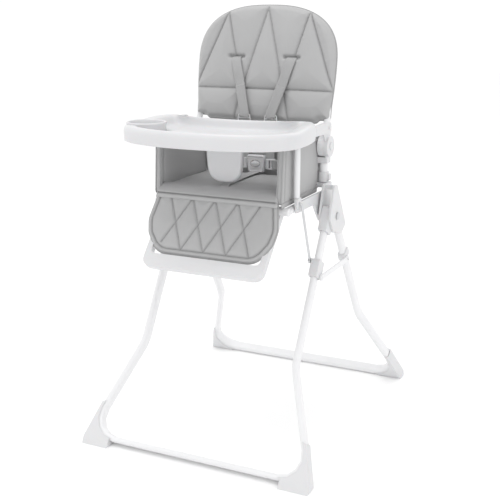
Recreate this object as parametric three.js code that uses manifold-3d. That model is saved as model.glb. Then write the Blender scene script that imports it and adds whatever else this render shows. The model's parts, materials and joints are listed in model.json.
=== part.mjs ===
// Baby high chair that folds, with a tray, a padded seat and a harness.
// Millimetres, +Z up, the child faces -Y, the floor is z = 0.
import * as THREE from "three";
import { mergeVertices } from "three/addons/utils/BufferGeometryUtils.js";
import Module from "manifold-3d";

const wasm = await Module();
wasm.setup();

// ---------------------------------------------------------------- driving dimensions
const GAP = 0.35; // between two pieces that touch
const BORE_CLEARANCE = 0.4; // on the radius of every pin and tube in its hole
const degrees = THREE.MathUtils.degToRad;

const HUB_AXIS = { y: -5, z: 543 };
const LEG_TUBE = { width: 14, depth: 29 }; // across the chair, and across the loop's plane
const LEG_OFFSET = 20; // from the hub axis to each leg's centre line
const BAR_HEIGHT = 12.7; // centre of the floor bars
const FRONT_LEGS = { lean: degrees(31.2), topX: 201.5, kinkX: 201.5, kinkZ: 226, cornerX: 291, bend: 52, kinkBend: 110, top: -6 };
const REAR_LEGS = { lean: degrees(31.9), topX: 201, kinkX: 208, kinkZ: 227, cornerX: 298, bend: 52, kinkBend: 110, top: 34 };
const FOOT_CAP = { height: 88, length: 66, overhang: 6, depth: 34, below: 26 };

const HUB = { pinRadius: 5, plate: 5.5, knuckleRadius: 24, wall: 4, top: 621, bridge: 12 };
const OUTER_CHEEK = { front: -27, rear: -9, lobe: -54 }; // places along Y of its top and its lobe
const INNER_CHEEK = { front: -22, rear: 28, lobe: -46 };
const SLEEVE = { travelStart: 144, length: 44, wall: 4 };
const BRACE = { thickness: 5, height: 13, pinRadius: 3.2, rear: { y: 90, z: 411 }, front: { y: -96, z: 411 } };
const CLIP = { wall: 2, height: 24, lug: 9 }; // holds the brace's rear end on the rear leg
const ROD = { radius: 3, lower: { y: -103, z: 452 } };

const SEAT_TUBE = { radius: 9, railX: 163.5, y: -196, z: 585, rear: 8 };
const SEAT_PAN = { width: 312, front: -172, rear: 8 };
const SEAT_PAD = { width: 296, front: -200, rear: 17, bottom: 606, top: 629 };
const WING = { thickness: 14, front: -214, rear: -4, bottom: 604, top: 729 };
const BRACKET = { thickness: 5, fromHub: 5.5, bossY: -160, bossZ: 600, bossRadius: 12 };

const UPRIGHT = { x: 175, y: 12, radius: 9.5 };
const COLLAR = { wall: 3.2, height: 25, bump: 7 };
const DISC = { y: 11, z: 708, radius: 25, inner: 166, split: 182.2, outer: 192 };
const RECLINE_BUTTON = { radius: 9, proud: 2.6, depth: 5 };

const ARM = { inner: 187, outer: 199, y: -20, z: 757, front: -199, halfHeight: 12.5 };
const POST = { x: 175, width: 12, depth: 18 };
const TRAY = { width: 430, front: -357, back: -100, wall: 3, bottom: 738, rim: 774, floor: 757, belly: 34 };
const TRAY_RIM = { front: 15, side: 34 };
const CUP = { x: -166, y: -243, radius: 43, wall: 3, depth: 15 };
const GUARD = { width: 94, y: -164, depth: 16, bottom: 641 };

const BACK_TUBE = { radius: 8, x: 173.5, shoulderX: 162, shoulder: 160, turn: 74 };
const BACK = { lean: degrees(9.8), bottomY: 36, bottomZ: 776, height: 260, thickness: 32, halfWidth: 183 };
const LOWER_BACK = { halfWidth: 158, bottom: 634, top: 742, y: 20, thickness: 14 };

const FOOTREST = {
  armX: 146,
  armWidth: 14,
  armDepth: 17,
  topY: -190,
  topZ: 578,
  stepY: -293,
  stepZ: 462,
  stepHeight: 34,
};
const CALF_PAD = { top: 596, topY: -222, bottom: 482, bottomY: -278, thickness: 12, halfWidth: 162 };
const WEB = { width: 25, thickness: 2 };
const ADJUSTER = { x: 36, y: 6, z: 768, width: 34, height: 17 };
const STRAP_SLOT = { x: 72, height: 140 }; // where a shoulder strap enters the backrest
const BUCKLE = { width: 50, height: 44, depth: 15, y: 2, z: 655 };

// ---------------------------------------------------------------- materials
const surface = (color, roughness, metalness = 0) =>
  new THREE.MeshStandardMaterial({ color, roughness, metalness });
const paintedTube = surface(0xe9eaec, 0.35);
const whitePlastic = surface(0xe6e7ea, 0.5);
const trayPlastic = surface(0xeeeef0, 0.4);
const greyLeather = surface(0xb4b4b4, 0.6);
const greyWebbing = surface(0x9c9c9c, 0.85);
const bareSteel = surface(0xbfc2c6, 0.3, 1);
const board = surface(0xd9d9d9, 0.8);

// ---------------------------------------------------------------- solids
function solidOf(geometry) {
  const bare = geometry.index ? geometry.toNonIndexed() : geometry.clone();
  const positions = new THREE.BufferGeometry();
  positions.setAttribute("position", bare.getAttribute("position"));
  const merged = mergeVertices(positions, 1e-4);
  return new wasm.Manifold(
    new wasm.Mesh({
      numProp: 3,
      vertProperties: new Float32Array(merged.attributes.position.array),
      triVerts: new Uint32Array(merged.index.array),
    }),
  );
}

function geometryOf(solid) {
  const mesh = solid.getMesh();
  const geometry = new THREE.BufferGeometry();
  geometry.setAttribute("position", new THREE.BufferAttribute(mesh.vertProperties, 3));
  geometry.setIndex(new THREE.BufferAttribute(mesh.triVerts, 1));
  const flat = geometry.toNonIndexed();
  flat.computeVertexNormals();
  return flat;
}

const union = (...parts) => parts.map(solidOf).reduce((all, part) => all.add(part));
const cut = (body, ...holes) => holes.map(solidOf).reduce((all, hole) => all.subtract(hole), body);

// ---------------------------------------------------------------- outlines and sweeps
// An outline from corners [u, v, radius]; a corner without a radius stays sharp.
function outline(corners) {
  const shape = new THREE.Shape();
  corners.forEach(([u, v, radius = 0], index) => {
    const corner = new THREE.Vector2(u, v);
    const before = corners[(index + corners.length - 1) % corners.length];
    const after = corners[(index + 1) % corners.length];
    const back = new THREE.Vector2(before[0], before[1]).sub(corner).normalize();
    const ahead = new THREE.Vector2(after[0], after[1]).sub(corner).normalize();
    const reach = radius / Math.tan(back.angleTo(ahead) / 2);
    const start = corner.clone().addScaledVector(back, reach);
    if (index === 0) shape.moveTo(start.x, start.y);
    else shape.lineTo(start.x, start.y);
    if (radius === 0) return;
    const end = corner.clone().addScaledVector(ahead, reach);
    shape.quadraticCurveTo(corner.x, corner.y, end.x, end.y);
  });
  shape.closePath();
  return shape;
}

const extrude = (shape, depth, curveSegments = 3) =>
  new THREE.ExtrudeGeometry(shape, { depth, curveSegments, bevelEnabled: false });

// An outline in (y, z), from x0 to x1.
function sidePlate(shape, x0, x1, curveSegments) {
  const turn = new THREE.Matrix4().makeBasis(
    new THREE.Vector3(0, 1, 0),
    new THREE.Vector3(0, 0, 1),
    new THREE.Vector3(1, 0, 0),
  );
  return extrude(shape, x1 - x0, curveSegments).applyMatrix4(turn).translate(x0, 0, 0);
}

// An outline in (x, z), from y0 back to y1.
const frontPlate = (shape, y0, y1, curveSegments) =>
  extrude(shape, y1 - y0, curveSegments).rotateX(Math.PI / 2).translate(0, y1, 0);

// An outline in (x, y), from z0 up to z1.
const flatPlate = (shape, z0, z1, curveSegments) => extrude(shape, z1 - z0, curveSegments).translate(0, 0, z0);

const block = (x0, x1, y0, y1, z0, z1) =>
  new THREE.BoxGeometry(x1 - x0, y1 - y0, z1 - z0).translate((x0 + x1) / 2, (y0 + y1) / 2, (z0 + z1) / 2);

const pin = (y, z, radius, x0, x1, sides = 14) =>
  new THREE.CylinderGeometry(radius, radius, x1 - x0, sides)
    .rotateZ(Math.PI / 2)
    .translate((x0 + x1) / 2, y, z);

const upright = (x, y, radius, z0, z1, sides = 18) =>
  new THREE.CylinderGeometry(radius, radius, z1 - z0, sides)
    .rotateX(Math.PI / 2)
    .translate(x, y, (z0 + z1) / 2);

// A path whose stations are the places where a swept section stands.
class StationPath extends THREE.Curve {
  constructor(stations) {
    super();
    this.stations = stations;
  }
  getPoint(share, target = new THREE.Vector3()) {
    const place = share * (this.stations.length - 1);
    const index = Math.min(Math.floor(place + 1e-9), this.stations.length - 2);
    return target.lerpVectors(this.stations[index], this.stations[index + 1], place - index);
  }
  getPointAt(share, target) {
    return this.getPoint(share, target);
  }
  getTangentAt(share, target = new THREE.Vector3()) {
    const last = this.stations.length - 1;
    const index = Math.round(share * last);
    const before = this.stations[Math.max(index - 1, 0)];
    const after = this.stations[Math.min(index + 1, last)];
    const here = this.stations[index];
    const arriving = here.clone().sub(before).normalize();
    const leaving = after.clone().sub(here).normalize();
    return target.copy(arriving).add(leaving).normalize();
  }
}

// Stations of a polyline in the XY plane with its inner corners rounded by arcs.
function roundedRun(corners, bends, arcSteps = 5) {
  const points = corners.map(([x, y]) => new THREE.Vector3(x, y, 0));
  const stations = [points[0]];
  for (let index = 1; index < points.length - 1; index++) {
    const corner = points[index];
    const back = points[index - 1].clone().sub(corner).normalize();
    const ahead = points[index + 1].clone().sub(corner).normalize();
    const half = back.angleTo(ahead) / 2;
    const radius = bends[index - 1];
    const reach = radius / Math.tan(half);
    const centre = corner
      .clone()
      .addScaledVector(back.clone().add(ahead).normalize(), radius / Math.sin(half));
    const from = corner.clone().addScaledVector(back, reach).sub(centre);
    const sweep = Math.PI - 2 * half;
    const side = Math.sign(back.x * ahead.y - back.y * ahead.x);
    for (let step = 0; step <= arcSteps; step++) {
      const turned = from.clone().applyAxisAngle(new THREE.Vector3(0, 0, -side), (sweep * step) / arcSteps);
      stations.push(turned.add(centre));
    }
  }
  stations.push(points[points.length - 1]);
  return stations;
}

// A section with round ends: `across` lies in the path's plane, `deep` stands out of it.
function ovalSection(across, deep) {
  const shape = new THREE.Shape();
  const radius = Math.min(across, deep) / 2;
  const straight = (Math.max(across, deep) / 2 - radius) || 0;
  const upDown = deep > across;
  for (const side of [1, -1]) {
    const middle = upDown ? 0 : Math.PI / 2;
    const start = middle - Math.PI / 2 + (side < 0 ? Math.PI : 0);
    const [cx, cy] = upDown ? [side * straight, 0] : [0, side * straight];
    shape.absarc(cx, cy, radius, start, start + Math.PI, false);
  }
  return shape;
}

const sweep = (section, stations, curveSegments = 6) =>
  new THREE.ExtrudeGeometry(section, {
    steps: stations.length - 1,
    curveSegments,
    extrudePath: new StationPath(stations),
  });

// ---------------------------------------------------------------- the chair as groups
const chair = new THREE.Group();
const leftSide = new THREE.Group();
leftSide.scale.x = -1;
chair.add(leftSide);

function addPiece(name, geometry, material, parent = chair) {
  const mesh = new THREE.Mesh(geometry, material);
  mesh.name = name;
  parent.add(mesh);
}

function addPair(name, geometry, material) {
  addPiece(`${name}_right`, geometry, material);
  addPiece(`${name}_left`, geometry, material, leftSide);
}

// ---------------------------------------------------------------- leg loops
// A loop's own frame: x across, y up along the legs from the floor bar, z out of its plane.
function loopFrame(legs, facing) {
  const up = { y: -facing * Math.sin(legs.lean), z: Math.cos(legs.lean) };
  const out = { y: facing * Math.cos(legs.lean), z: Math.sin(legs.lean) };
  const hub = { y: HUB_AXIS.y + LEG_OFFSET * out.y, z: HUB_AXIS.z + LEG_OFFSET * out.z };
  const length = (hub.z - BAR_HEIGHT) / up.z;
  const matrix = new THREE.Matrix4()
    .makeRotationX(Math.PI / 2 + facing * legs.lean)
    .setPosition(0, hub.y - length * up.y, BAR_HEIGHT);
  return { up, out, length, matrix };
}

function loopCorners(legs, frame, past = 0) {
  const kink = (legs.kinkZ - BAR_HEIGHT) / frame.up.z;
  return [
    [legs.cornerX, 0],
    [legs.kinkX, kink],
    [legs.topX, frame.length - legs.top + past],
  ];
}

function loopTube(legs, frame, past, clearance) {
  const side = loopCorners(legs, frame, past);
  const mirrored = side.map(([x, y]) => [-x, y]).reverse();
  const run = roundedRun([...mirrored, ...side], [legs.kinkBend, legs.bend, legs.bend, legs.kinkBend], 4);
  const section = ovalSection(LEG_TUBE.width + 2 * clearance, LEG_TUBE.depth + 2 * clearance);
  return sweep(section, run, 3).applyMatrix4(frame.matrix);
}

const legLoop = (legs, frame) => loopTube(legs, frame, 0, 0);
// The same tube with clearance, as the hole that it leaves in what holds it.
const legHole = (legs, frame) => loopTube(legs, frame, 1, BORE_CLEARANCE);

// The foot cap fills the corner outside the bend and stands flat on the floor.
function footCap(legs, frame) {
  const [corner, kink] = loopCorners(legs, frame);
  const run = roundedRun([[0, 0], corner, kink], [legs.bend], 4);
  const slope = (kink[0] - corner[0]) / kink[1];
  const capTop = (FOOT_CAP.height - BAR_HEIGHT) / frame.up.z;
  const inner = corner[0] - FOOT_CAP.length;
  const shape = new THREE.Shape();
  shape.moveTo(inner, 0);
  for (const station of run.slice(1, -1)) shape.lineTo(station.x, station.y);
  shape.lineTo(corner[0] + slope * capTop, capTop);
  shape.lineTo(corner[0] + slope * capTop + LEG_TUBE.width / 2 + 3, capTop - 4);
  shape.lineTo(corner[0] + FOOT_CAP.overhang, -6);
  shape.lineTo(corner[0] + FOOT_CAP.overhang - 1, -FOOT_CAP.below);
  shape.lineTo(inner, -FOOT_CAP.below);
  shape.closePath();
  const slab = extrude(shape, FOOT_CAP.depth).translate(0, 0, -FOOT_CAP.depth / 2).applyMatrix4(frame.matrix);
  const floor = block(-500, 500, -600, 600, -80, 0);
  return geometryOf(cut(solidOf(slab), legHole(legs, frame), floor));
}

const front = loopFrame(FRONT_LEGS, -1);
const rear = loopFrame(REAR_LEGS, 1);
addPiece("rear_leg_loop", legLoop(REAR_LEGS, rear), paintedTube);
addPair("rear_foot_cap", footCap(REAR_LEGS, rear), whitePlastic);
addPiece("front_leg_loop", legLoop(FRONT_LEGS, front), paintedTube);
addPair("front_foot_cap", footCap(FRONT_LEGS, front), whitePlastic);

// A place on a leg: s down from the hub axis along the leg, n out of the loop's plane from that axis.
const onLeg = (frame, s, n) => ({
  y: HUB_AXIS.y + n * frame.out.y - s * frame.up.y,
  z: HUB_AXIS.z + n * frame.out.z - s * frame.up.z,
});

// ---------------------------------------------------------------- hubs
const knuckleInner = FRONT_LEGS.topX - LEG_TUBE.width / 2 - HUB.wall;
const knuckleOuter = FRONT_LEGS.topX + LEG_TUBE.width / 2 + HUB.wall;
const innerPlate = { x0: knuckleInner - GAP - HUB.plate, x1: knuckleInner - GAP };
const outerPlate = { x0: knuckleOuter + GAP, x1: knuckleOuter + GAP + HUB.plate };
const hubPinHole = pin(HUB_AXIS.y, HUB_AXIS.z, HUB.pinRadius + BORE_CLEARANCE, 100, 300);

function knuckle() {
  const reach = LEG_OFFSET + LEG_TUBE.depth / 2 + HUB.wall;
  const corners = [
    onLeg(front, -14, 1),
    onLeg(front, 52, 1),
    onLeg(front, 52, reach),
    onLeg(front, -14, reach),
  ].map(({ y, z }, index) => [y, z, index === 3 ? 12 : 3]);
  const arm = sidePlate(outline(corners), knuckleInner, knuckleOuter);
  const eye = pin(HUB_AXIS.y, HUB_AXIS.z, HUB.knuckleRadius, knuckleInner, knuckleOuter, 20);
  return geometryOf(cut(union(arm, eye), legHole(FRONT_LEGS, front), hubPinHole));
}
addPair("front_leg_knuckle", knuckle(), whitePlastic);

const hubRear = onLeg(rear, 30, LEG_OFFSET + LEG_TUBE.depth / 2 + HUB.wall);
const hubFoot = onLeg(rear, 62, LEG_OFFSET + LEG_TUBE.depth / 2 + HUB.wall);
const hubFootFront = onLeg(rear, 62, 1.5);

function hubOutline(cheek) {
  return outline([
    [cheek.front, HUB.top, 7],
    [cheek.rear, HUB.top, 7],
    [hubRear.y, hubRear.z, 10],
    [hubFoot.y, hubFoot.z, 4],
    [hubFootFront.y, hubFootFront.z, 4],
    [HUB_AXIS.y - 24, HUB_AXIS.z - 33, 10],
    [cheek.lobe, HUB_AXIS.z + 2, 12],
  ]);
}

// Two cheeks beside the knuckle, the rear leg's socket and the bridge that holds the upright.
function hubShell() {
  const outerCheek = sidePlate(hubOutline(OUTER_CHEEK), outerPlate.x0, outerPlate.x1);
  const innerCheek = sidePlate(hubOutline(INNER_CHEEK), innerPlate.x0, innerPlate.x1);
  const socketCorners = [
    onLeg(rear, 29, 1),
    onLeg(rear, 62, 1.5),
    onLeg(rear, 62, LEG_OFFSET + LEG_TUBE.depth / 2 + HUB.wall - 1),
    onLeg(rear, 29, LEG_OFFSET + LEG_TUBE.depth / 2 + HUB.wall - 1),
  ].map(({ y, z }) => [y, z]);
  const socket = sidePlate(outline(socketCorners), innerPlate.x1 - 1, outerPlate.x0 + 1);
  const bridge = block(
    UPRIGHT.x - UPRIGHT.radius - 4,
    innerPlate.x1 - 1,
    UPRIGHT.y - UPRIGHT.radius - 5,
    UPRIGHT.y + UPRIGHT.radius + 5,
    HUB.top - HUB.bridge,
    HUB.top - 0.5,
  );
  const spacer = block(
    innerPlate.x1 - 1,
    outerPlate.x0 + 1,
    INNER_CHEEK.front + 4,
    OUTER_CHEEK.rear - 2,
    HUB.top - HUB.bridge,
    HUB.top - 1.5,
  );
  const bore = upright(UPRIGHT.x, UPRIGHT.y, UPRIGHT.radius + BORE_CLEARANCE, HUB.top - 9, HUB.top + 10);
  const body = union(outerCheek, innerCheek, socket, bridge, spacer);
  return geometryOf(cut(body, legHole(REAR_LEGS, rear), hubPinHole, bore));
}
addPair("hub_shell", hubShell(), whitePlastic);

const seatPlate = {
  x0: innerPlate.x0 - BRACKET.fromHub - BRACKET.thickness,
  x1: innerPlate.x0 - BRACKET.fromHub,
};
const pinStart = seatPlate.x0 - 3;
addPair(
  "hub_pivot_pin",
  geometryOf(
    union(
      pin(HUB_AXIS.y, HUB_AXIS.z, HUB.pinRadius, pinStart, outerPlate.x1 + 3),
      pin(HUB_AXIS.y, HUB_AXIS.z, HUB.pinRadius + 4, outerPlate.x1 + GAP, outerPlate.x1 + 3.4),
      pin(HUB_AXIS.y, HUB_AXIS.z, HUB.pinRadius + 3, pinStart - 2, seatPlate.x0 - GAP),
    ),
  ),
  bareSteel,
);

// ---------------------------------------------------------------- uprights, collars and recline discs
const socketBottom = DISC.z - DISC.radius - 15;
const socketTop = DISC.z - DISC.radius - 0.6;
addPair(
  "upright_tube",
  upright(UPRIGHT.x, UPRIGHT.y, UPRIGHT.radius, HUB.top - 9 + GAP, socketTop - 3, 18),
  paintedTube,
);

function collar() {
  const low = HUB.top + GAP;
  const radius = UPRIGHT.radius + BORE_CLEARANCE + COLLAR.wall;
  const ring = upright(UPRIGHT.x, UPRIGHT.y, radius, low, low + COLLAR.height, 18);
  const bump = block(
    UPRIGHT.x + radius - 4,
    UPRIGHT.x + radius + COLLAR.bump - 3,
    UPRIGHT.y - 6,
    UPRIGHT.y + 6,
    low + 5,
    low + COLLAR.height - 5,
  );
  const bore = upright(UPRIGHT.x, UPRIGHT.y, UPRIGHT.radius + BORE_CLEARANCE, low - 5, low + 60, 18);
  return geometryOf(cut(union(ring, bump), bore));
}
addPair("lock_collar", collar(), whitePlastic);

function reclineHousing() {
  const disc = pin(DISC.y, DISC.z, DISC.radius, DISC.split + GAP, DISC.outer, 28);
  const socket = block(
    UPRIGHT.x - UPRIGHT.radius - 3,
    DISC.outer - 5,
    UPRIGHT.y - UPRIGHT.radius - 3,
    UPRIGHT.y + UPRIGHT.radius + 3,
    socketBottom,
    socketTop,
  );
  const web = block(DISC.split + GAP, DISC.outer - 5, DISC.y - 14, DISC.y + 14, socketTop - 2, DISC.z - 12);
  const bracket = sidePlate(
    outline([
      [DISC.y - 18, DISC.z + 8, 2],
      [DISC.y + 2, DISC.z + 18, 2],
      [ARM.y + 10, ARM.z + 3, 8],
      [ARM.y + 3, ARM.z + 11, 6],
      [ARM.y - 9, ARM.z + 8, 6],
      [ARM.y - 10, ARM.z - 8, 6],
    ]),
    DISC.split + GAP,
    ARM.inner - GAP,
  );
  const armPin = pin(ARM.y, ARM.z, 4, DISC.split + 1, ARM.outer + 1.5, 16);
  const bore = upright(UPRIGHT.x, UPRIGHT.y, UPRIGHT.radius + BORE_CLEARANCE, socketBottom - 5, socketTop - 2.6, 18);
  const well = pin(
    DISC.y,
    DISC.z,
    RECLINE_BUTTON.radius + BORE_CLEARANCE,
    DISC.outer - RECLINE_BUTTON.depth - 3.4,
    DISC.outer + 5,
    20,
  );
  return geometryOf(cut(union(disc, socket, web, bracket, armPin), bore, well));
}
addPair("recline_housing", reclineHousing(), whitePlastic);

const buttonInner = DISC.outer - RECLINE_BUTTON.depth;
addPair(
  "recline_button",
  pin(DISC.y, DISC.z, RECLINE_BUTTON.radius, buttonInner, DISC.outer + RECLINE_BUTTON.proud, 20),
  whitePlastic,
);

// ---------------------------------------------------------------- backrest
// Places up the backrest's middle plane, from its lower edge.
const onBack = (height, outward = 0) => ({
  y: BACK.bottomY + height * Math.sin(BACK.lean) - outward * Math.cos(BACK.lean),
  z: BACK.bottomZ + height * Math.cos(BACK.lean) + outward * Math.sin(BACK.lean),
});
const backMatrix = new THREE.Matrix4()
  .makeRotationX(Math.PI / 2 - BACK.lean)
  .setPosition(0, BACK.bottomY, BACK.bottomZ);

// The tube's legs lean from the discs to the pad, then run up inside it and round its top.
function backTubeStations() {
  const start = new THREE.Vector3(BACK_TUBE.x, DISC.y + 5, DISC.z + 17);
  const inside = (x, height) => new THREE.Vector3(x, onBack(height).y, onBack(height).z);
  const { x, shoulderX, shoulder, turn } = BACK_TUBE;
  const waistX = (x + shoulderX) / 2;
  const side = [start, inside(x, 0), inside(x, 12), inside(waistX, shoulder / 2), inside(shoulderX, shoulder)];
  for (let step = 1; step <= 4; step++) {
    const angle = (Math.PI / 2) * (step / 4);
    side.push(inside(shoulderX - turn * (1 - Math.cos(angle)), shoulder + turn * Math.sin(angle)));
  }
  const other = side.map((place) => new THREE.Vector3(-place.x, place.y, place.z)).reverse();
  return [...side, ...other];
}
const roundSection = (radius) => new THREE.Shape().absarc(0, 0, radius, 0, 2 * Math.PI, false);
addPiece("backrest_frame", sweep(roundSection(BACK_TUBE.radius), backTubeStations(), 8), paintedTube);

function reclineDisc() {
  const disc = pin(DISC.y, DISC.z, DISC.radius, DISC.inner, DISC.split, 28);
  const boss = sidePlate(
    outline([
      [DISC.y - 13, DISC.z + 12],
      [DISC.y + 20, DISC.z + 10],
      [DISC.y + 26, DISC.z + 36, 3],
      [DISC.y - 1, DISC.z + 40, 3],
    ]),
    DISC.inner,
    DISC.split,
  );
  const bore = sweep(roundSection(BACK_TUBE.radius + BORE_CLEARANCE), backTubeStations(), 8);
  const body = cut(union(disc, boss), bore, block(BACK_TUBE.x - 7, BACK_TUBE.x + 7, DISC.y - 2, DISC.y + 11, DISC.z + 15, DISC.z + 20));
  return geometryOf(body);
}
addPair("recline_disc", reclineDisc(), whitePlastic);

// The backrest pad: wider at mid height, with a round top, over the tube.
function backOutline(inset = 0) {
  const h = BACK.height;
  const w = BACK.halfWidth - inset;
  const right = [
    [w - 3, inset, 8],
    [w - 1, 46, 20],
    [w, 130, 30],
    [w - 14, 184, 30],
    [w - 44, 232, 30],
    [w - 98, h - 5 - inset, 30],
  ];
  const left = right.map(([x, y, r]) => [-x, y, r]).reverse();
  return outline([...right, [0, h - inset + 4, 20], ...left]);
}
function backrestPad() {
  const slab = extrude(backOutline(), BACK.thickness, 3)
    .translate(0, 0, -BACK.thickness / 2)
    .applyMatrix4(backMatrix);
  const tunnel = sweep(roundSection(BACK_TUBE.radius + BORE_CLEARANCE), backTubeStations(), 8);
  return geometryOf(cut(solidOf(slab), tunnel));
}
addPiece("backrest_pad", backrestPad(), greyLeather);

addPiece(
  "lower_back_pad",
  frontPlate(
    outline([
      [-LOWER_BACK.halfWidth, LOWER_BACK.bottom, 10],
      [LOWER_BACK.halfWidth, LOWER_BACK.bottom, 10],
      [LOWER_BACK.halfWidth, LOWER_BACK.top, 6],
      [-LOWER_BACK.halfWidth, LOWER_BACK.top, 6],
    ]),
    LOWER_BACK.y,
    LOWER_BACK.y + LOWER_BACK.thickness,
    3,
  ),
  greyLeather,
);

// ---------------------------------------------------------------- armrests and posts
function armrest() {
  const shape = outline([
    [ARM.y + 14, ARM.z - ARM.halfHeight, 11],
    [ARM.y + 14, ARM.z + ARM.halfHeight, 11],
    [ARM.front, ARM.z + ARM.halfHeight - 3, 8],
    [ARM.front, ARM.z - ARM.halfHeight + 3, 8],
  ]);
  const hole = pin(ARM.y, ARM.z, 4 + BORE_CLEARANCE, ARM.inner - 5, ARM.outer + 5, 16);
  return geometryOf(cut(solidOf(sidePlate(shape, ARM.inner, ARM.outer)), hole));
}
addPair("armrest", armrest(), whitePlastic);

const postTop = ARM.z - 10;
function post() {
  const low = BRACKET.bossZ + BRACKET.bossRadius + GAP;
  const run = roundedRun(
    [
      [POST.x, low],
      [POST.x, postTop],
      [ARM.inner - GAP, postTop],
    ],
    [10],
    4,
  );
  const section = ovalSection(POST.width, POST.depth);
  return sweep(section, run, 4).rotateX(Math.PI / 2).translate(0, BRACKET.bossY, 0);
}
addPair("arm_post", post(), paintedTube);

// ---------------------------------------------------------------- tray
function trayOutline(inset, sideInset = inset) {
  const half = TRAY.width / 2 - sideInset;
  const back = TRAY.back - inset;
  const front = TRAY.front + inset;
  const shape = new THREE.Shape();
  shape.moveTo(half - 18, back);
  shape.quadraticCurveTo(half, back - 60, half, -235);
  shape.bezierCurveTo(half, -300 + inset, half - 50, front + 17, 62, front + 3);
  shape.quadraticCurveTo(0, front - 2, -62, front + 3);
  shape.bezierCurveTo(-half + 50, front + 17, -half, -300 + inset, -half, -235);
  shape.quadraticCurveTo(-half, back - 60, -half + 18, back);
  shape.lineTo(-half + 46, back - 6);
  shape.quadraticCurveTo(0, back - 2 * TRAY.belly, half - 46, back - 6);
  shape.closePath();
  return shape;
}

// A moulded shell: a basin, a hollow rim that hides the armrests, and a cup ring.
function tray() {
  const rimInner = [TRAY_RIM.front, TRAY_RIM.side];
  const hollowInner = rimInner.map((inset) => inset - TRAY.wall);
  const skin = solidOf(flatPlate(trayOutline(0), TRAY.bottom, TRAY.rim, 5));
  const well = flatPlate(trayOutline(...rimInner), TRAY.floor, TRAY.rim + 10, 5);
  const under = flatPlate(trayOutline(TRAY.wall), TRAY.bottom - 10, TRAY.floor - TRAY.wall, 5);
  const rimHollow = cut(
    solidOf(flatPlate(trayOutline(TRAY.wall), TRAY.floor - TRAY.wall - 1, TRAY.rim - TRAY.wall, 5)),
    flatPlate(trayOutline(...hollowInner), TRAY.floor - 30, TRAY.rim + 20, 5),
  );
  const cupOuter = upright(
    CUP.x,
    CUP.y,
    CUP.radius + CUP.wall,
    TRAY.floor - CUP.depth - CUP.wall,
    TRAY.rim - 2,
    30,
  );
  const cupInner = upright(CUP.x, CUP.y, CUP.radius, TRAY.floor - CUP.depth, TRAY.rim + 10, 30);
  const armSlots = [-1, 1].map((side) => {
    const middle = (side * (ARM.inner + ARM.outer)) / 2;
    const half = (ARM.outer - ARM.inner) / 2 + 1;
    return block(middle - half, middle + half, TRAY.back - 40, TRAY.back + 10, 700, TRAY.rim - TRAY.wall);
  });
  const shell = cut(skin, well, under, ...armSlots).subtract(rimHollow);
  return geometryOf(cut(shell.add(solidOf(cupOuter)), cupInner));
}
addPiece("tray", tray(), trayPlastic);

// The guard hangs between the child's legs from the tray's underside.
function crotchGuard() {
  const half = GUARD.width / 2;
  const top = TRAY.floor - TRAY.wall - GAP;
  const shape = outline([
    [-half + 10, GUARD.bottom, 30],
    [half - 10, GUARD.bottom, 30],
    [half, top],
    [-half, top],
  ]);
  const hollow = outline([
    [-half + 14, GUARD.bottom + 4, 28],
    [half - 14, GUARD.bottom + 4, 28],
    [half - 4, top - 4],
    [-half + 4, top - 4],
  ]);
  const body = solidOf(frontPlate(shape, GUARD.y - GUARD.depth, GUARD.y, 5));
  return geometryOf(cut(body, frontPlate(hollow, GUARD.y - GUARD.depth + 4, GUARD.y + 5, 5)));
}
addPiece("crotch_guard", crotchGuard(), trayPlastic);

// ---------------------------------------------------------------- sleeves, braces and rods
const sleeveX = FRONT_LEGS.topX;
function sleeve() {
  const half = LEG_TUBE.width / 2 + SLEEVE.wall;
  const depth = LEG_TUBE.depth / 2 + SLEEVE.wall;
  const corners = [
    onLeg(front, SLEEVE.travelStart - SLEEVE.length / 2, LEG_OFFSET - depth),
    onLeg(front, SLEEVE.travelStart + SLEEVE.length / 2, LEG_OFFSET - depth),
    onLeg(front, SLEEVE.travelStart + SLEEVE.length / 2, LEG_OFFSET + depth),
    onLeg(front, SLEEVE.travelStart - SLEEVE.length / 2, LEG_OFFSET + depth),
  ].map(({ y, z }) => [y, z, 5]);
  const body = sidePlate(outline(corners), sleeveX - half, sleeveX + half);
  const straight = roundedRun([[sleeveX, 300], [sleeveX, 700]], []);
  const section = ovalSection(LEG_TUBE.width + 2 * BORE_CLEARANCE, LEG_TUBE.depth + 2 * BORE_CLEARANCE);
  const bore = sweep(section, straight, 3).applyMatrix4(front.matrix);
  return geometryOf(cut(solidOf(body), bore));
}
const rodX = sleeveX - LEG_TUBE.width / 2 - SLEEVE.wall - GAP - ROD.radius;

// The rear leg's centre line at the clip, and the braces just outside the clips and the sleeves.
const clipS = Math.hypot(BRACE.rear.y - HUB_AXIS.y, BRACE.rear.z - HUB_AXIS.z) - 8;
const rearLegFall = rear.length - (REAR_LEGS.kinkZ - BAR_HEIGHT) / rear.up.z - REAR_LEGS.top;
const clipX = REAR_LEGS.topX + ((REAR_LEGS.kinkX - REAR_LEGS.topX) * (clipS - REAR_LEGS.top)) / rearLegFall;
const clipHalf = LEG_TUBE.width / 2 + CLIP.wall;
const sleeveHalf = LEG_TUBE.width / 2 + SLEEVE.wall;
const braceInner = Math.max(clipX + clipHalf, sleeveX + sleeveHalf) + GAP;
const braceX = { x0: braceInner, x1: braceInner + BRACE.thickness };
addPair("leg_sleeve", sleeve(), whitePlastic);

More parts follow.
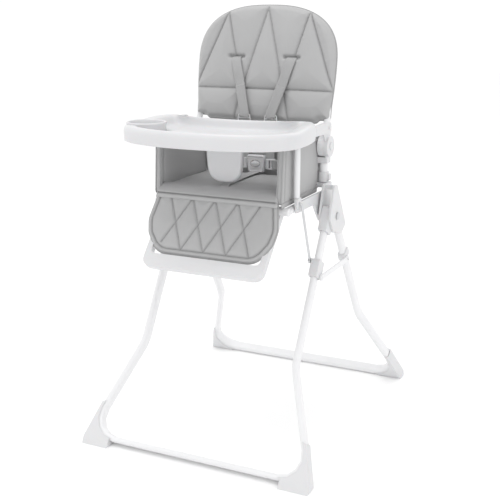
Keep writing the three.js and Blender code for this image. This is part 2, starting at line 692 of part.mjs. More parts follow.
// Its rear eye turns on the clip's pin, and a rivet closes its front eye.
function brace() {
  const { rear: back, front: ahead } = BRACE;
  const rivet = pin(ahead.y, ahead.z, BRACE.pinRadius + 1.5, braceX.x1 - 1, braceX.x1 + 1.6, 16);
  const bar = block(braceX.x0, braceX.x1, ahead.y, back.y, ahead.z - BRACE.height / 2, ahead.z + BRACE.height / 2);
  const eyes = [ahead, back].map(({ y, z }) => pin(y, z, BRACE.height / 2 + 2, braceX.x0, braceX.x1, 20));
  const hole = pin(back.y, back.z, BRACE.pinRadius + BORE_CLEARANCE, braceX.x0 - 5, braceX.x1 + 5, 16);
  return geometryOf(cut(union(bar, ...eyes, rivet), hole));
}
addPair("leg_brace", brace(), paintedTube);

function braceClip() {
  const depth = LEG_TUBE.depth / 2 + CLIP.wall;
  const corners = [
    onLeg(rear, clipS - CLIP.height / 2, LEG_OFFSET - depth),
    onLeg(rear, clipS + CLIP.height / 2, LEG_OFFSET - depth),
    onLeg(rear, clipS + CLIP.height / 2, LEG_OFFSET + depth),
    onLeg(rear, clipS - CLIP.height / 2, LEG_OFFSET + depth),
  ].map(({ y, z }) => [y, z, 4]);
  const band = sidePlate(outline(corners), clipX - clipHalf, clipX + clipHalf);
  const { y, z } = BRACE.rear;
  const lug = pin(y, z, CLIP.lug, clipX, clipX + clipHalf, 20);
  const stub = pin(y, z, BRACE.pinRadius, clipX, braceX.x1 + 2, 16);
  return geometryOf(cut(union(band, lug, stub), legHole(REAR_LEGS, rear)));
}
addPair("brace_clip", braceClip(), whitePlastic);

function rod() {
  const top = { y: BRACKET.bossY, z: BRACKET.bossZ };
  const length = Math.hypot(ROD.lower.y - top.y, ROD.lower.z - top.z);
  const angle = Math.atan2(ROD.lower.y - top.y, top.z - ROD.lower.z);
  const wire = roundedRun(
    [
      [seatPlate.x0 - 1.5 - rodX, 0],
      [0, 0],
      [0, -length],
    ],
    [5],
    3,
  );
  const rodShape = sweep(roundSection(ROD.radius), wire, 7);
  const eye = new THREE.CylinderGeometry(6.5, 6.5, 2 * ROD.radius - 0.6, 18).rotateZ(Math.PI / 2).translate(0, -length, 0);
  const place = new THREE.Matrix4()
    .makeRotationX(Math.PI / 2 + angle)
    .setPosition(rodX, top.y, top.z);
  return geometryOf(union(rodShape, eye)).applyMatrix4(place);
}
addPair("seat_rod", rod(), bareSteel);

// ---------------------------------------------------------------- seat
// Two rails welded to the front bar.
function seatTube() {
  const { radius, railX, y, z, rear: railEnd } = SEAT_TUBE;
  const bar = pin(y, z, radius, -railX - 8, railX + 8, 16);
  const rails = [-railX, railX].map((x) =>
    new THREE.CylinderGeometry(radius, radius, railEnd - y, 16).translate(x, (y + railEnd) / 2, z),
  );
  return geometryOf(union(bar, ...rails));
}
addPiece("seat_frame", seatTube(), paintedTube);

function seatBracket() {
  const low = SEAT_TUBE.z - SEAT_TUBE.radius;
  const plate = sidePlate(
    outline([
      [BRACKET.bossY - 10, low + 2, 3],
      [-62, low + 2, 6],
      [HUB_AXIS.y - 16, HUB_AXIS.z - 12, 12],
      [HUB_AXIS.y + 14, HUB_AXIS.z - 12, 12],
      [HUB_AXIS.y + 18, SEAT_TUBE.z + 16, 8],
      [BRACKET.bossY - 10, SEAT_TUBE.z + 16, 3],
    ]),
    seatPlate.x0,
    seatPlate.x1,
  );
  const bossOuter = rodX - ROD.radius - 2.5;
  const boss = pin(BRACKET.bossY, BRACKET.bossZ, BRACKET.bossRadius, seatPlate.x0, bossOuter, 28);
  const pad = block(
    seatPlate.x0,
    bossOuter,
    BRACKET.bossY - BRACKET.bossRadius,
    BRACKET.bossY + BRACKET.bossRadius,
    BRACKET.bossZ,
    BRACKET.bossZ + BRACKET.bossRadius,
  );
  const rodHole = pin(BRACKET.bossY, BRACKET.bossZ, ROD.radius + BORE_CLEARANCE, 100, 300, 16);
  return geometryOf(cut(union(plate, boss, pad), hubPinHole, rodHole));
}
addPair("seat_bracket", seatBracket(), whitePlastic);

const panTop = SEAT_PAD.bottom - GAP;
addPiece(
  "seat_pan",
  block(
    -SEAT_PAN.width / 2,
    SEAT_PAN.width / 2,
    SEAT_PAN.front,
    SEAT_PAN.rear,
    SEAT_TUBE.z + SEAT_TUBE.radius + GAP,
    panTop,
  ),
  board,
);

function seatPad() {
  const shape = outline([
    [SEAT_PAD.front, SEAT_PAD.bottom, 6],
    [SEAT_PAD.rear, SEAT_PAD.bottom, 3],
    [SEAT_PAD.rear, SEAT_PAD.top, 6],
    [SEAT_PAD.front, SEAT_PAD.top - 4, 11],
  ]);
  return sidePlate(shape, -SEAT_PAD.width / 2, SEAT_PAD.width / 2, 4);
}
addPiece("seat_pad", seatPad(), greyLeather);

const WING_INNER = SEAT_PAD.width / 2 + 2 * GAP;
addPair(
  "side_panel",
  sidePlate(
    outline([
      [WING.front - 2, WING.bottom + 2, 8],
      [WING.rear, WING.bottom + 2, 12],
      [WING.rear, WING.top - 8, 16],
      [WING.front + 6, WING.top, 10],
    ]),
    WING_INNER,
    WING_INNER + WING.thickness,
    4,
  ),
  greyLeather,
);

// ---------------------------------------------------------------- footrest
// The arms' eyes turn on the seat frame's front bar.
const footrestRun = { y: FOOTREST.stepY - FOOTREST.topY, z: FOOTREST.stepZ - FOOTREST.topZ };
const footrestSlope = Math.atan2(-footrestRun.y, -footrestRun.z);
function footrest() {
  const length = Math.hypot(footrestRun.y, footrestRun.z);
  const halfArm = FOOTREST.armWidth / 2;
  const outer = FOOTREST.armX + halfArm;
  const inner = FOOTREST.armX - halfArm;
  const frameShape = outline([
    [-outer, 0],
    [-inner, 0],
    [-inner, -length + FOOTREST.stepHeight / 2, 14],
    [inner, -length + FOOTREST.stepHeight / 2, 14],
    [inner, 0],
    [outer, 0],
    [outer, -length - FOOTREST.stepHeight / 2, 26],
    [-outer, -length - FOOTREST.stepHeight / 2, 26],
  ]);
  const frame = extrude(frameShape, FOOTREST.armDepth, 5).translate(0, 0, -FOOTREST.armDepth / 2);
  const place = new THREE.Matrix4()
    .makeRotationX(Math.PI / 2 - footrestSlope)
    .setPosition(0, FOOTREST.topY, FOOTREST.topZ);
  const eyes = [-1, 1].map((side) =>
    pin(SEAT_TUBE.y, SEAT_TUBE.z, SEAT_TUBE.radius + 3, side * FOOTREST.armX - halfArm, side * FOOTREST.armX + halfArm, 24),
  );
  const barHole = new THREE.CylinderGeometry(
    SEAT_TUBE.radius + BORE_CLEARANCE,
    SEAT_TUBE.radius + BORE_CLEARANCE,
    600,
    24,
  )
    .rotateZ(Math.PI / 2)
    .translate(0, SEAT_TUBE.y, SEAT_TUBE.z);
  return geometryOf(cut(union(frame.applyMatrix4(place), ...eyes), barHole));
}
addPiece("footrest_frame", footrest(), whitePlastic);

function calfPad() {
  const rise = CALF_PAD.top - CALF_PAD.bottom;
  const run = CALF_PAD.topY - CALF_PAD.bottomY;
  const length = Math.hypot(rise, run);
  const slim = FOOTREST.armX - FOOTREST.armWidth / 2 - 3;
  const right = [
    [WING_INNER - 2, 0, 5],
    [WING_INNER + 1, -14, 8],
    [CALF_PAD.halfWidth, -28, 6],
    [CALF_PAD.halfWidth - 3, -42, 8],
    [slim, -62, 5],
    [slim - 24, -length, 22],
  ];
  const left = right.map(([x, y, radius]) => [-x, y, radius]).reverse();
  const slab = extrude(outline([...right, ...left]), CALF_PAD.thickness, 4).translate(0, 0, -CALF_PAD.thickness);
  const place = new THREE.Matrix4()
    .makeRotationX(Math.PI / 2 - Math.atan2(run, rise))
    .setPosition(0, CALF_PAD.topY, CALF_PAD.top);
  return slab.applyMatrix4(place);
}
addPiece("calf_pad", calfPad(), greyLeather);

// ---------------------------------------------------------------- harness
// A strap's stations stand in a side view; its width lies across the chair.
function strapBand(points, width = WEB.width, x = 0) {
  const half = WEB.thickness / 2;
  const rows = points.map(([y, z], index) => {
    const before = points[Math.max(index - 1, 0)];
    const after = points[Math.min(index + 1, points.length - 1)];
    const along = new THREE.Vector2(after[0] - before[0], after[1] - before[1]).normalize();
    return [new THREE.Vector2(y, z), new THREE.Vector2(-along.y, along.x)];
  });
  const shape = new THREE.Shape();
  rows.forEach(([place, out], index) => {
    const point = place.clone().addScaledVector(out, half);
    if (index === 0) shape.moveTo(point.x, point.y);
    else shape.lineTo(point.x, point.y);
  });
  for (const [place, out] of rows.slice().reverse()) {
    const point = place.clone().addScaledVector(out, -half);
    shape.lineTo(point.x, point.y);
  }
  shape.closePath();
  return sidePlate(shape, x - width / 2, x + width / 2);
}

const strapFoot = SEAT_PAD.top + 1.6;
addPiece(
  "crotch_strap",
  strapBand([
    [-182, strapFoot],
    [-120, strapFoot + 1],
    [-50, strapFoot + 3],
    [BUCKLE.y - BUCKLE.depth / 2 - 2, strapFoot + 5],
  ]),
  greyWebbing,
);

function buckleBody() {
  const half = BUCKLE.width / 2;
  const low = BUCKLE.z - BUCKLE.height / 2;
  const high = BUCKLE.z + BUCKLE.height / 2;
  const shape = outline([
    [-half, low, 8],
    [half, low, 8],
    [half - 3, high, 8],
    [-half + 3, high, 8],
  ]);
  const body = solidOf(frontPlate(shape, BUCKLE.y - BUCKLE.depth / 2, BUCKLE.y + BUCKLE.depth / 2));
  const well = new THREE.CylinderGeometry(10.4, 10.4, 7, 28).translate(0, BUCKLE.y - BUCKLE.depth / 2 + 2.5, BUCKLE.z);
  return geometryOf(cut(body, well));
}
addPiece("buckle_body", buckleBody(), whitePlastic);
addPiece(
  "buckle_button",
  new THREE.CylinderGeometry(10, 10, 3.6, 28).translate(0, BUCKLE.y - BUCKLE.depth / 2 + 0.6, BUCKLE.z),
  whitePlastic,
);

function buckleTongue() {
  const inner = BUCKLE.width / 2 + GAP;
  const shape = outline([
    [inner, BUCKLE.z - 12, 2],
    [inner + 27, BUCKLE.z - 14, 4],
    [inner + 27, BUCKLE.z + 14, 4],
    [inner, BUCKLE.z + 13, 2],
  ]);
  const slots = [9, 17].map((x) =>
    block(inner + x, inner + x + 4, BUCKLE.y - 10, BUCKLE.y + 10, BUCKLE.z - 10, BUCKLE.z + 10),
  );
  return geometryOf(cut(solidOf(frontPlate(shape, BUCKLE.y - 3, BUCKLE.y + 3)), ...slots));
}
addPair("buckle_tongue", buckleTongue(), whitePlastic);

const waistStart = BUCKLE.width / 2 + GAP + 27 + GAP;
addPair(
  "waist_strap",
  block(waistStart, 142, LOWER_BACK.y - 14, LOWER_BACK.y - 12, BUCKLE.z - WEB.width / 2, BUCKLE.z + WEB.width / 2),
  greyWebbing,
);

const slotPlace = onBack(STRAP_SLOT.height, BACK.thickness / 2 + 2.5);
function shoulderStrap() {
  const stretch = { y: slotPlace.y - ADJUSTER.y, z: slotPlace.z - ADJUSTER.z };
  const lean = Math.atan2(stretch.y, stretch.z);
  const length = Math.hypot(stretch.y, stretch.z);
  const half = WEB.width / 2;
  const low = ADJUSTER.height / 2;
  const shape = outline([
    [ADJUSTER.x - half, low],
    [ADJUSTER.x + half, low],
    [STRAP_SLOT.x + half, length],
    [STRAP_SLOT.x - half, length],
  ]);
  const place = new THREE.Matrix4().makeRotationX(Math.PI / 2 - lean).setPosition(0, ADJUSTER.y, ADJUSTER.z);
  return extrude(shape, WEB.thickness).applyMatrix4(place);
}
addPair("shoulder_strap", shoulderStrap(), greyWebbing);

function strapAdjuster() {
  const { x, y, z, width, height } = ADJUSTER;
  const rim = 4;
  const bar = 3;
  const frame = block(x - width / 2, x + width / 2, y - 2, y + 2, z - height / 2 - 1, z + height / 2 - 1);
  const window = (z0, z1) => block(x - width / 2 + rim, x + width / 2 - rim, y - 9, y + 9, z0, z1);
  const middle = z - 1;
  const below = window(middle - height / 2 + bar, middle - bar / 2);
  const above = window(middle + bar / 2, middle + height / 2 - bar);
  return geometryOf(cut(solidOf(frame), below, above));
}
addPair("strap_adjuster", strapAdjuster(), whitePlastic);

export default chair;
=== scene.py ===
"""A folding baby high chair: cushions, webbing, tray and finishes around its fixed frame.

Metres throughout, +Z up, and the child faces -Y.
"""

import json
import math

import bmesh
import bpy
import numpy as np
from bpy.props import FloatProperty, FloatVectorProperty, IntProperty
from mathutils import Matrix, Vector, noise


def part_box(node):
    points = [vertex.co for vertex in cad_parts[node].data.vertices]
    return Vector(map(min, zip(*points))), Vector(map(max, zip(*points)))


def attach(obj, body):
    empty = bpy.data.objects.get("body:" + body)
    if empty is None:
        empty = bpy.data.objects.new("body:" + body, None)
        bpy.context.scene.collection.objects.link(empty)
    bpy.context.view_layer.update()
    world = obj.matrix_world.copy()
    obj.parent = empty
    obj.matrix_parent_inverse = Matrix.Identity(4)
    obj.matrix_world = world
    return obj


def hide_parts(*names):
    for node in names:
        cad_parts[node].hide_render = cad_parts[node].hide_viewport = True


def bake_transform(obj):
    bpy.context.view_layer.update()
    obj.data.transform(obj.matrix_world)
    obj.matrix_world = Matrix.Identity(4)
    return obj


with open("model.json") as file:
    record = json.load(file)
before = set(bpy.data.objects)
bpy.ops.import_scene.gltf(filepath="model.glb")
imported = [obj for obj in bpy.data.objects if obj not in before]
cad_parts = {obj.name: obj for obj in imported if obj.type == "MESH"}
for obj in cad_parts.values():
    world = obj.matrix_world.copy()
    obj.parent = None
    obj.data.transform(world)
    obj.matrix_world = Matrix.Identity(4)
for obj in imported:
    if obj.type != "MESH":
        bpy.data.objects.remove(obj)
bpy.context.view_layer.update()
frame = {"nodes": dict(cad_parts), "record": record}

bl_info = {
    "name": "Baby high chair",
    "version": (1, 0, 0),
    "blender": (4, 5, 0),
    "location": "3D View > Sidebar > High chair",
    "description": "Builds the soft goods, tray and finishes of a folding baby high chair",
    "category": "Object",
}

SIDES = {"right": 1, "left": -1}
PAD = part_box("backrest_pad")
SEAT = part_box("seat_pad")
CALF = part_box("calf_pad")
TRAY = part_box("tray")
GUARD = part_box("crotch_guard")
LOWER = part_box("lower_back_pad")
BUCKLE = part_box("buckle_body")


# ---------------------------------------------------------------- sizes and colours
def length(name, description, default):
    return FloatProperty(name=name, description=description, default=default, min=0.0, unit="LENGTH")


def colour(name, description, default):
    return FloatVectorProperty(
        name=name, description=description, default=default, size=3, min=0.0, max=1.0, subtype="COLOR"
    )


class HighChairSizes(bpy.types.PropertyGroup):
    """Sizes of the soft goods that a maker would change."""

    back_lean: FloatProperty(
        name="Backrest lean",
        description="How far the backrest leans from upright",
        default=math.radians(9.8),
        subtype="ANGLE",
    )
    back_depth: length("Backrest depth", "Thickness of the backrest's padding", 0.032)
    calf_depth: length("Calf pad depth", "Thickness of the calf pad", 0.015)
    piping: length("Piping", "Radius of the piping cord in the cushions' edges", 0.0021)
    puff: length("Puff", "How far the padding stands up between two seams", 0.0075)
    web_width: length("Webbing width", "Width of the harness webbing", 0.025)
    web_depth: length("Webbing depth", "Thickness of the harness webbing", 0.0018)
    grid: IntProperty(name="Grid", description="Cells across the backrest's face", default=250, min=20)


class HighChairLooks(bpy.types.PropertyGroup):
    """Colours of the finishes, and the light."""

    leather: colour("Leatherette", "Colour of the synthetic leather", (0.425, 0.425, 0.427))
    piping: colour("Piping", "Colour of the piping", (0.36, 0.36, 0.362))
    webbing: colour("Webbing", "Colour of the harness", (0.4, 0.4, 0.402))
    paint: colour("Paint", "Powder coat of the tubes", (0.8, 0.8, 0.81))
    plastic: colour("Plastic", "Moulded hubs, caps and sleeves", (0.69, 0.69, 0.7))
    tray: colour("Tray", "Moulded tray and guard", (0.67, 0.67, 0.682))
    steel: colour("Steel", "Pins and wire rods", (0.62, 0.63, 0.64))
    board: colour("Board", "Board under the seat cushion", (0.55, 0.55, 0.55))
    floor: colour("Floor", "Floor of the studio", (0.985, 0.985, 0.985))
    key: FloatProperty(name="Key light", description="Power of the key light", default=20.0, unit="POWER")
    sky: FloatProperty(name="Surround", description="Strength of the surrounding white light", default=1.04)


# ---------------------------------------------------------------- shader maths
def math_of(operation, swapped=False):
    def method(self, other=None):
        values = (self,) if other is None else (other, self) if swapped else (self, other)
        return self.shader.node("ShaderNodeMath", {"operation": operation}, *values)

    return method


class Value:
    """A number or colour that varies over a surface; arithmetic on it adds Math nodes."""

    def __init__(self, shader, socket):
        self.shader = shader
        self.socket = socket

    __add__ = __radd__ = math_of("ADD")
    __mul__ = __rmul__ = math_of("MULTIPLY")
    __sub__ = math_of("SUBTRACT")
    __rsub__ = math_of("SUBTRACT", swapped=True)
    sine = math_of("SINE")


class Shader:
    """One material and its nodes."""

    def __init__(self, name, **constants):
        self.material = bpy.data.materials.new(name)
        self.material.use_nodes = True
        self.tree = self.material.node_tree
        self.surface = self.tree.nodes["Principled BSDF"]
        for socket, value in constants.items():
            self.surface.inputs[socket.replace("_", " ")].default_value = value

    def node(self, kind, settings=None, *values, output=0, **named):
        """A node of that kind, with its settings, and with values or links for its sockets."""
        made = self.tree.nodes.new(kind)
        for key, setting in (settings or {}).items():
            if key == "stops":
                for index, (place, shade) in enumerate(setting):
                    ramp = made.color_ramp.elements
                    stop = ramp[index] if index < 2 else ramp.new(place)
                    stop.position, stop.color = place, (shade, shade, shade, 1)
            else:
                setattr(made, key, setting)
        sockets = [socket for socket in made.inputs if not socket.is_unavailable]
        pairs = list(zip(sockets, values))
        pairs += [(made.inputs[key.replace("_", " ")], value) for key, value in named.items()]
        for socket, value in pairs:
            self.plug(socket, value)
        shown = [socket for socket in made.outputs if not socket.is_unavailable]
        return Value(self, shown[output] if isinstance(output, int) else made.outputs[output])

    def plug(self, socket, value):
        if isinstance(value, Value):
            self.tree.links.new(value.socket, socket)
        elif value is not None:
            socket.default_value = value

    def place(self):
        """Metres in the chair's own frame."""
        return self.node("ShaderNodeTexCoord", output="Object")

    def noise(self, scale, detail=2.0, roughness=0.5):
        return self.node(
            "ShaderNodeTexNoise", Vector=self.place(), Scale=scale, Detail=detail, Roughness=roughness
        )

    def cells(self, scale, feature="F1"):
        return self.node("ShaderNodeTexVoronoi", {"feature": feature}, Vector=self.place(), Scale=scale)

    def attribute(self, name):
        return self.node("ShaderNodeAttribute", {"attribute_name": name}, output="Fac")

    def blend(self, share, first, second):
        return self.node("ShaderNodeMix", {"data_type": "RGBA"}, share, first, second)

    def bump(self, height, strength, distance):
        return self.node("ShaderNodeBump", Height=height, Strength=strength, Distance=distance)

    def finish(self, **sockets):
        for name, value in sockets.items():
            self.plug(self.surface.inputs[name.replace("_", " ")], value)
        return self.material


def tinted(rgb, factor):
    return tuple(min(1.0, channel * factor) for channel in rgb) + (1.0,)


# ---------------------------------------------------------------- materials
def leatherette(name, rgb):
    """Synthetic leather: pebbled grain, fine pores, faint mottling, and painted shade that darkens it down in
    the seams.
    """
    skin = Shader(name, Specular_IOR_Level=0.42, Sheen_Weight=0.08, Sheen_Roughness=0.5)
    pebbles = skin.cells(780.0, "SMOOTH_F1")
    pores = skin.noise(2100.0, 2.0, 0.6)
    creases = skin.noise(95.0, 5.0, 0.62)
    mottling = skin.noise(9.0, 3.0, 0.55)
    # The seam attribute is a painted shade mask: the colour goes darker down in the seams and slots, where
    # shade falls.
    seam = skin.attribute("seam")
    worn = skin.blend(mottling * 0.8 + creases * 0.2, tinted(rgb, 0.93), tinted(rgb, 1.07))
    seam_painted_shade = skin.blend(seam * 0.45, worn, tinted(rgb, 0.5))
    height = pebbles * 0.55 + pores * 0.2 + creases * 0.5
    return skin.finish(
        Base_Color=seam_painted_shade,
        Roughness=creases * 0.16 + pebbles * 0.1 + 0.4,
        Normal=skin.bump(height, 0.32, 0.0005),
    )


def webbing(name, rgb):
    """Woven polyester webbing: ribs across it, warp threads along it and a plain selvedge."""
    weave = Shader(name, Specular_IOR_Level=0.3, Sheen_Weight=0.25, Sheen_Roughness=0.6)
    across = weave.attribute("across")
    along = weave.attribute("along")
    warp = (across * (2 * math.pi / 0.0011)).sine() * 0.5 + 0.5
    weft = (along * (2 * math.pi / 0.0021) + (across * (math.pi / 0.0011)).sine() * 1.4).sine() * 0.5 + 0.5
    fuzz = weave.noise(1400.0, 3.0, 0.6)
    soiling = weave.noise(30.0, 3.0)
    cloth = warp * 0.45 + weft * 0.55
    tone = cloth * 0.55 + fuzz * 0.25 + soiling * 0.2
    return weave.finish(
        Base_Color=weave.blend(tone, tinted(rgb, 0.72), tinted(rgb, 1.22)),
        Roughness=fuzz * 0.15 + 0.72,
        Normal=weave.bump(cloth + fuzz * 0.3, 0.55, 0.0004),
    )


def powder_coat(name, rgb):
    """Powder-coated steel tube: faint orange peel, and duller where it is handled."""
    paint = Shader(name, Coat_Roughness=0.12, Specular_IOR_Level=0.5)
    peel = paint.noise(420.0, 2.0, 0.45)
    handling = paint.noise(16.0, 4.0, 0.6)
    return paint.finish(
        Base_Color=paint.blend(handling, tinted(rgb, 0.975), tinted(rgb, 1.02)),
        Roughness=handling * 0.14 + peel * 0.05 + 0.26,
        Coat_Weight=0.3 - handling * 0.2,
        Normal=paint.bump(peel, 0.12, 0.0004),
    )


def moulded(name, rgb, low_rough, grain, strength):
    """Injection-moulded plastic: spark-eroded grain, slow flow marks and light scuffs."""
    shell = Shader(name, IOR=1.46, Subsurface_Weight=0.04, Subsurface_Scale=0.004)
    sparks = shell.cells(grain)
    flow = shell.noise(22.0, 3.0, 0.5)
    scuffs = shell.noise(130.0, 6.0, 0.7)
    return shell.finish(
        Base_Color=shell.blend(flow * 0.7 + scuffs * 0.3, tinted(rgb, 0.965), tinted(rgb, 1.025)),
        Roughness=flow * 0.1 + scuffs * 0.12 + low_rough,
        Normal=shell.bump(sparks * 0.7 + scuffs * 0.3, strength, 0.0003),
    )


def drawn_steel(name, rgb):
    """Drawn and zinc-plated wire."""
    wire = Shader(name)
    lines = wire.noise(500.0, 4.0, 0.7)
    cloud = wire.noise(40.0, 3.0, 0.5)
    return wire.finish(
        Base_Color=wire.blend(cloud, tinted(rgb, 0.86), tinted(rgb, 1.1)),
        Metallic=1.0 - cloud * 0.12,
        Roughness=lines * 0.2 + 0.22,
        Normal=wire.bump(lines, 0.2, 0.0002),
    )


def fibre_board(name, rgb):
    """Pressed board with flecks of fibre."""
    sheet = Shader(name)
    flecks = sheet.noise(260.0, 6.0, 0.75)
    return sheet.finish(
        Base_Color=sheet.blend(flecks, tinted(rgb, 0.7), tinted(rgb, 1.2)),
        Roughness=flecks * 0.2 + 0.65,
        Normal=sheet.bump(flecks, 0.3, 0.0006),
    )


def material(slot):
    """The finish of a record slot, made once."""
    name = f"{slot}_finish"
    found = bpy.data.materials.get(name)
    if found:
        return found
    looks = bpy.context.scene.high_chair_looks
    finishes = {
        "grey_leatherette": (leatherette, looks.leather),
        "piping_leatherette": (leatherette, looks.piping),
        "seam_leatherette": (leatherette, [channel * 0.6 for channel in looks.leather]),
        # A darker copy of the leather for the cords at the bottom of the seams: painted shade in their
        # grooves.
        "grey_webbing": (webbing, looks.webbing),
        "painted_steel": (powder_coat, looks.paint),
        "bright_steel": (drawn_steel, looks.steel),
        "seat_board": (fibre_board, looks.board),
        "tray_plastic": (moulded, looks.tray, 0.2, 1500.0, 0.05),
    }
    make, *values = finishes.get(slot, (moulded, looks.plastic, 0.34, 1100.0, 0.14))
    return make(name, *values)


def new_piece(name, points, faces, slot, body, attributes=None):
    """A smooth mesh piece with its finish and record slot, riding on a body of the frame."""
    mesh = bpy.data.meshes.new(name)
    mesh.from_pydata([tuple(point) for point in points], [], faces)
    mesh.validate()
    for key, values in (attributes or {}).items():
        layer = mesh.attributes.new(key, "FLOAT", "POINT")
        layer.data.foreach_set("value", np.asarray(values, np.float32))
    mesh.polygons.foreach_set("use_smooth", [True] * len(mesh.polygons))
    piece = bpy.data.objects.new(name, mesh)
    bpy.context.scene.collection.objects.link(piece)
    mesh.materials.append(material(slot))
    if body:
        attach(piece, body)
    return piece


def close_up(piece, merge=1e-6):
    """Merges doubled points and turns every face outwards."""
    work = bmesh.new()
    work.from_mesh(piece.data)
    bmesh.ops.remove_doubles(work, verts=work.verts, dist=merge)
    bmesh.ops.recalc_face_normals(work, faces=work.faces)
    work.to_mesh(piece.data)
    work.free()
    return piece


def grid_faces(rows, columns, start=0, flip=False, closed=False):
    """Quads of a grid of points; a closed grid joins its last column to its first."""
    faces = []
    for row in range(rows - 1):
        for column in range(columns if closed else columns - 1):
            beside = (column + 1) % columns
            a, b = start + row * columns + column, start + row * columns + beside
            quad = (a, b, b + columns, a + columns)
            faces.append(quad[::-1] if flip else quad)
    return faces


def capped(rings, first_pole, last_pole):
    """Points and faces of a closed shell through rings, closed by a fan to a pole at each end."""
    count = len(rings[0])
    points = [place for ring in rings for place in ring] + [first_pole, last_pole]
    last = (len(rings) - 1) * count
    faces = grid_faces(len(rings), count, closed=True)
    faces += [(len(points) - 2, (k + 1) % count, k) for k in range(count)]
    faces += [(len(points) - 1, last + k, last + (k + 1) % count) for k in range(count)]
    return points, faces


def run_along(path):
    """How far along a path each of its points is."""
    return np.concatenate([[0], np.cumsum(np.linalg.norm(np.diff(path, axis=0), axis=1))])


def resampled(path, shares):
    """Places on a path at those shares of its length."""
    path = np.asarray(path, float)
    run = run_along(path)
    at = np.asarray(shares) * run[-1]
    return np.stack([np.interp(at, run, path[:, k]) for k in range(path.shape[1])], 1)


def rounded(corners, steps=6):
    """A closed outline from corners (s, t, radius), each rounded by a curve."""
    points = []
    for index, (s, t, radius) in enumerate(corners):
        here = np.array([s, t])
        before = np.array(corners[index - 1][:2]) - here
        after = np.array(corners[(index + 1) % len(corners)][:2]) - here
        if radius == 0:
            points.append(here)
            continue
        back = before / np.linalg.norm(before)
        ahead = after / np.linalg.norm(after)
        half = math.acos(np.clip(back @ ahead, -1, 1)) / 2
        reach = radius / math.tan(half)
        for share in np.linspace(0, 1, steps + 1):
            low = here + back * reach * (1 - share) ** 2
            points.append(low + ahead * reach * share**2)
    return np.array(points)


def mirrored(right):
    """Rounded corners up the right side, after the same ones down the left side."""
    return [(-s, t, radius) for s, t, radius in reversed(right)] + right


def box_corners(left, low, right, high):
    """Low left, low right, high right and high left."""
    return [(left, low), (right, low), (right, high), (left, high)]


def flared(foot_half, foot, foot_radius, top_half, top, top_radius, steps=6):
    """An outline that is the same on both sides, with a foot and a top of different widths."""
    return rounded(
        [
            (-foot_half, foot, foot_radius),
            (foot_half, foot, foot_radius),
            (top_half, top, top_radius),
            (-top_half, top, top_radius),
        ],
        steps,
    )


def even(outline, spacing=0.003):
    """A closed outline with points at an even spacing."""
    closed = np.vstack([outline, outline[:1]])
    count = max(8, int(run_along(closed)[-1] / spacing))
    return resampled(closed, np.linspace(0, 1, count + 1))[:-1]


def distance_to(points, path, closed=False):
    """How far each point is from a path, and how far along the path its nearest place is."""
    path = np.asarray(path, float)
    starts = path if closed else path[:-1]
    legs = (np.roll(path, -1, 0) if closed else path[1:]) - starts
    lengths = np.maximum(np.linalg.norm(legs, axis=1), 1e-9)
    run = np.concatenate([[0], np.cumsum(lengths)[:-1]])
    offset = points[:, None, :] - starts[None]
    share = np.clip((offset * legs).sum(2) / lengths**2, 0, 1)
    gap = np.linalg.norm(offset - share[..., None] * legs, axis=2)
    nearest = gap.argmin(1)
    rows = np.arange(len(points))
    return gap[rows, nearest], run[nearest] + share[rows, nearest] * lengths[nearest]


def crowd(count):
    """Shares from 0 to 1 that stand closer together at both ends."""
    even_shares = np.linspace(0, 1, count)
    return even_shares - 0.45 * np.sin(2 * np.pi * even_shares) / (2 * np.pi)


def patch(outline, corners, columns, rows):
    """A grid that fills an outline, from its corners: low left, low right, high right, high left."""
    at = [int(np.argmin(np.linalg.norm(outline - np.array(corner), axis=1))) for corner in corners]

    def edge(a, b, count):
        run = outline[a : b + 1] if a < b else np.vstack([outline[a:], outline[: b + 1]])
        return resampled(run, crowd(count))

    low, right = edge(at[0], at[1], columns), edge(at[1], at[2], rows)
    high, left = edge(at[2], at[3], columns)[::-1], edge(at[3], at[0], rows)[::-1]
    u, v = crowd(columns)[None, :, None], crowd(rows)[:, None, None]
    ruled = (1 - v) * low[None] + v * high[None] + (1 - u) * left[:, None] + u * right[:, None]
    corner = (1 - v) * ((1 - u) * low[0] + u * low[-1]) + v * ((1 - u) * high[0] + u * high[-1])
    return ruled - corner


def dome(share):
    """A round shoulder that rises from 0 at an edge to 1."""
    return np.sqrt(np.clip(1 - (1 - np.clip(share, 0, 1)) ** 2, 0, 1))


def roughly(points, scale, seed=0.0):
    """Slow, seeded noise over points of a plane."""
    return np.array([noise.noise(Vector((p[0] * scale, p[1] * scale, seed))) for p in points])


STITCH_WIDTH, STITCH_DEPTH = 0.0021, 0.0022
GATHER_PITCH, GATHER_REACH, GATHER_DEPTH = 0.0135, 0.006, 0.00035
TUG_PITCH, TUG_REACH, TUG_DEPTH = 0.021, 0.012, 0.0004
LUMP_DEPTH, REAR_LUMP_DEPTH = 0.0011, 0.0008
SLOT_WIDTH, SLOT_REACH = 0.0042, 0.013
SEAM_CORD = 0.00075


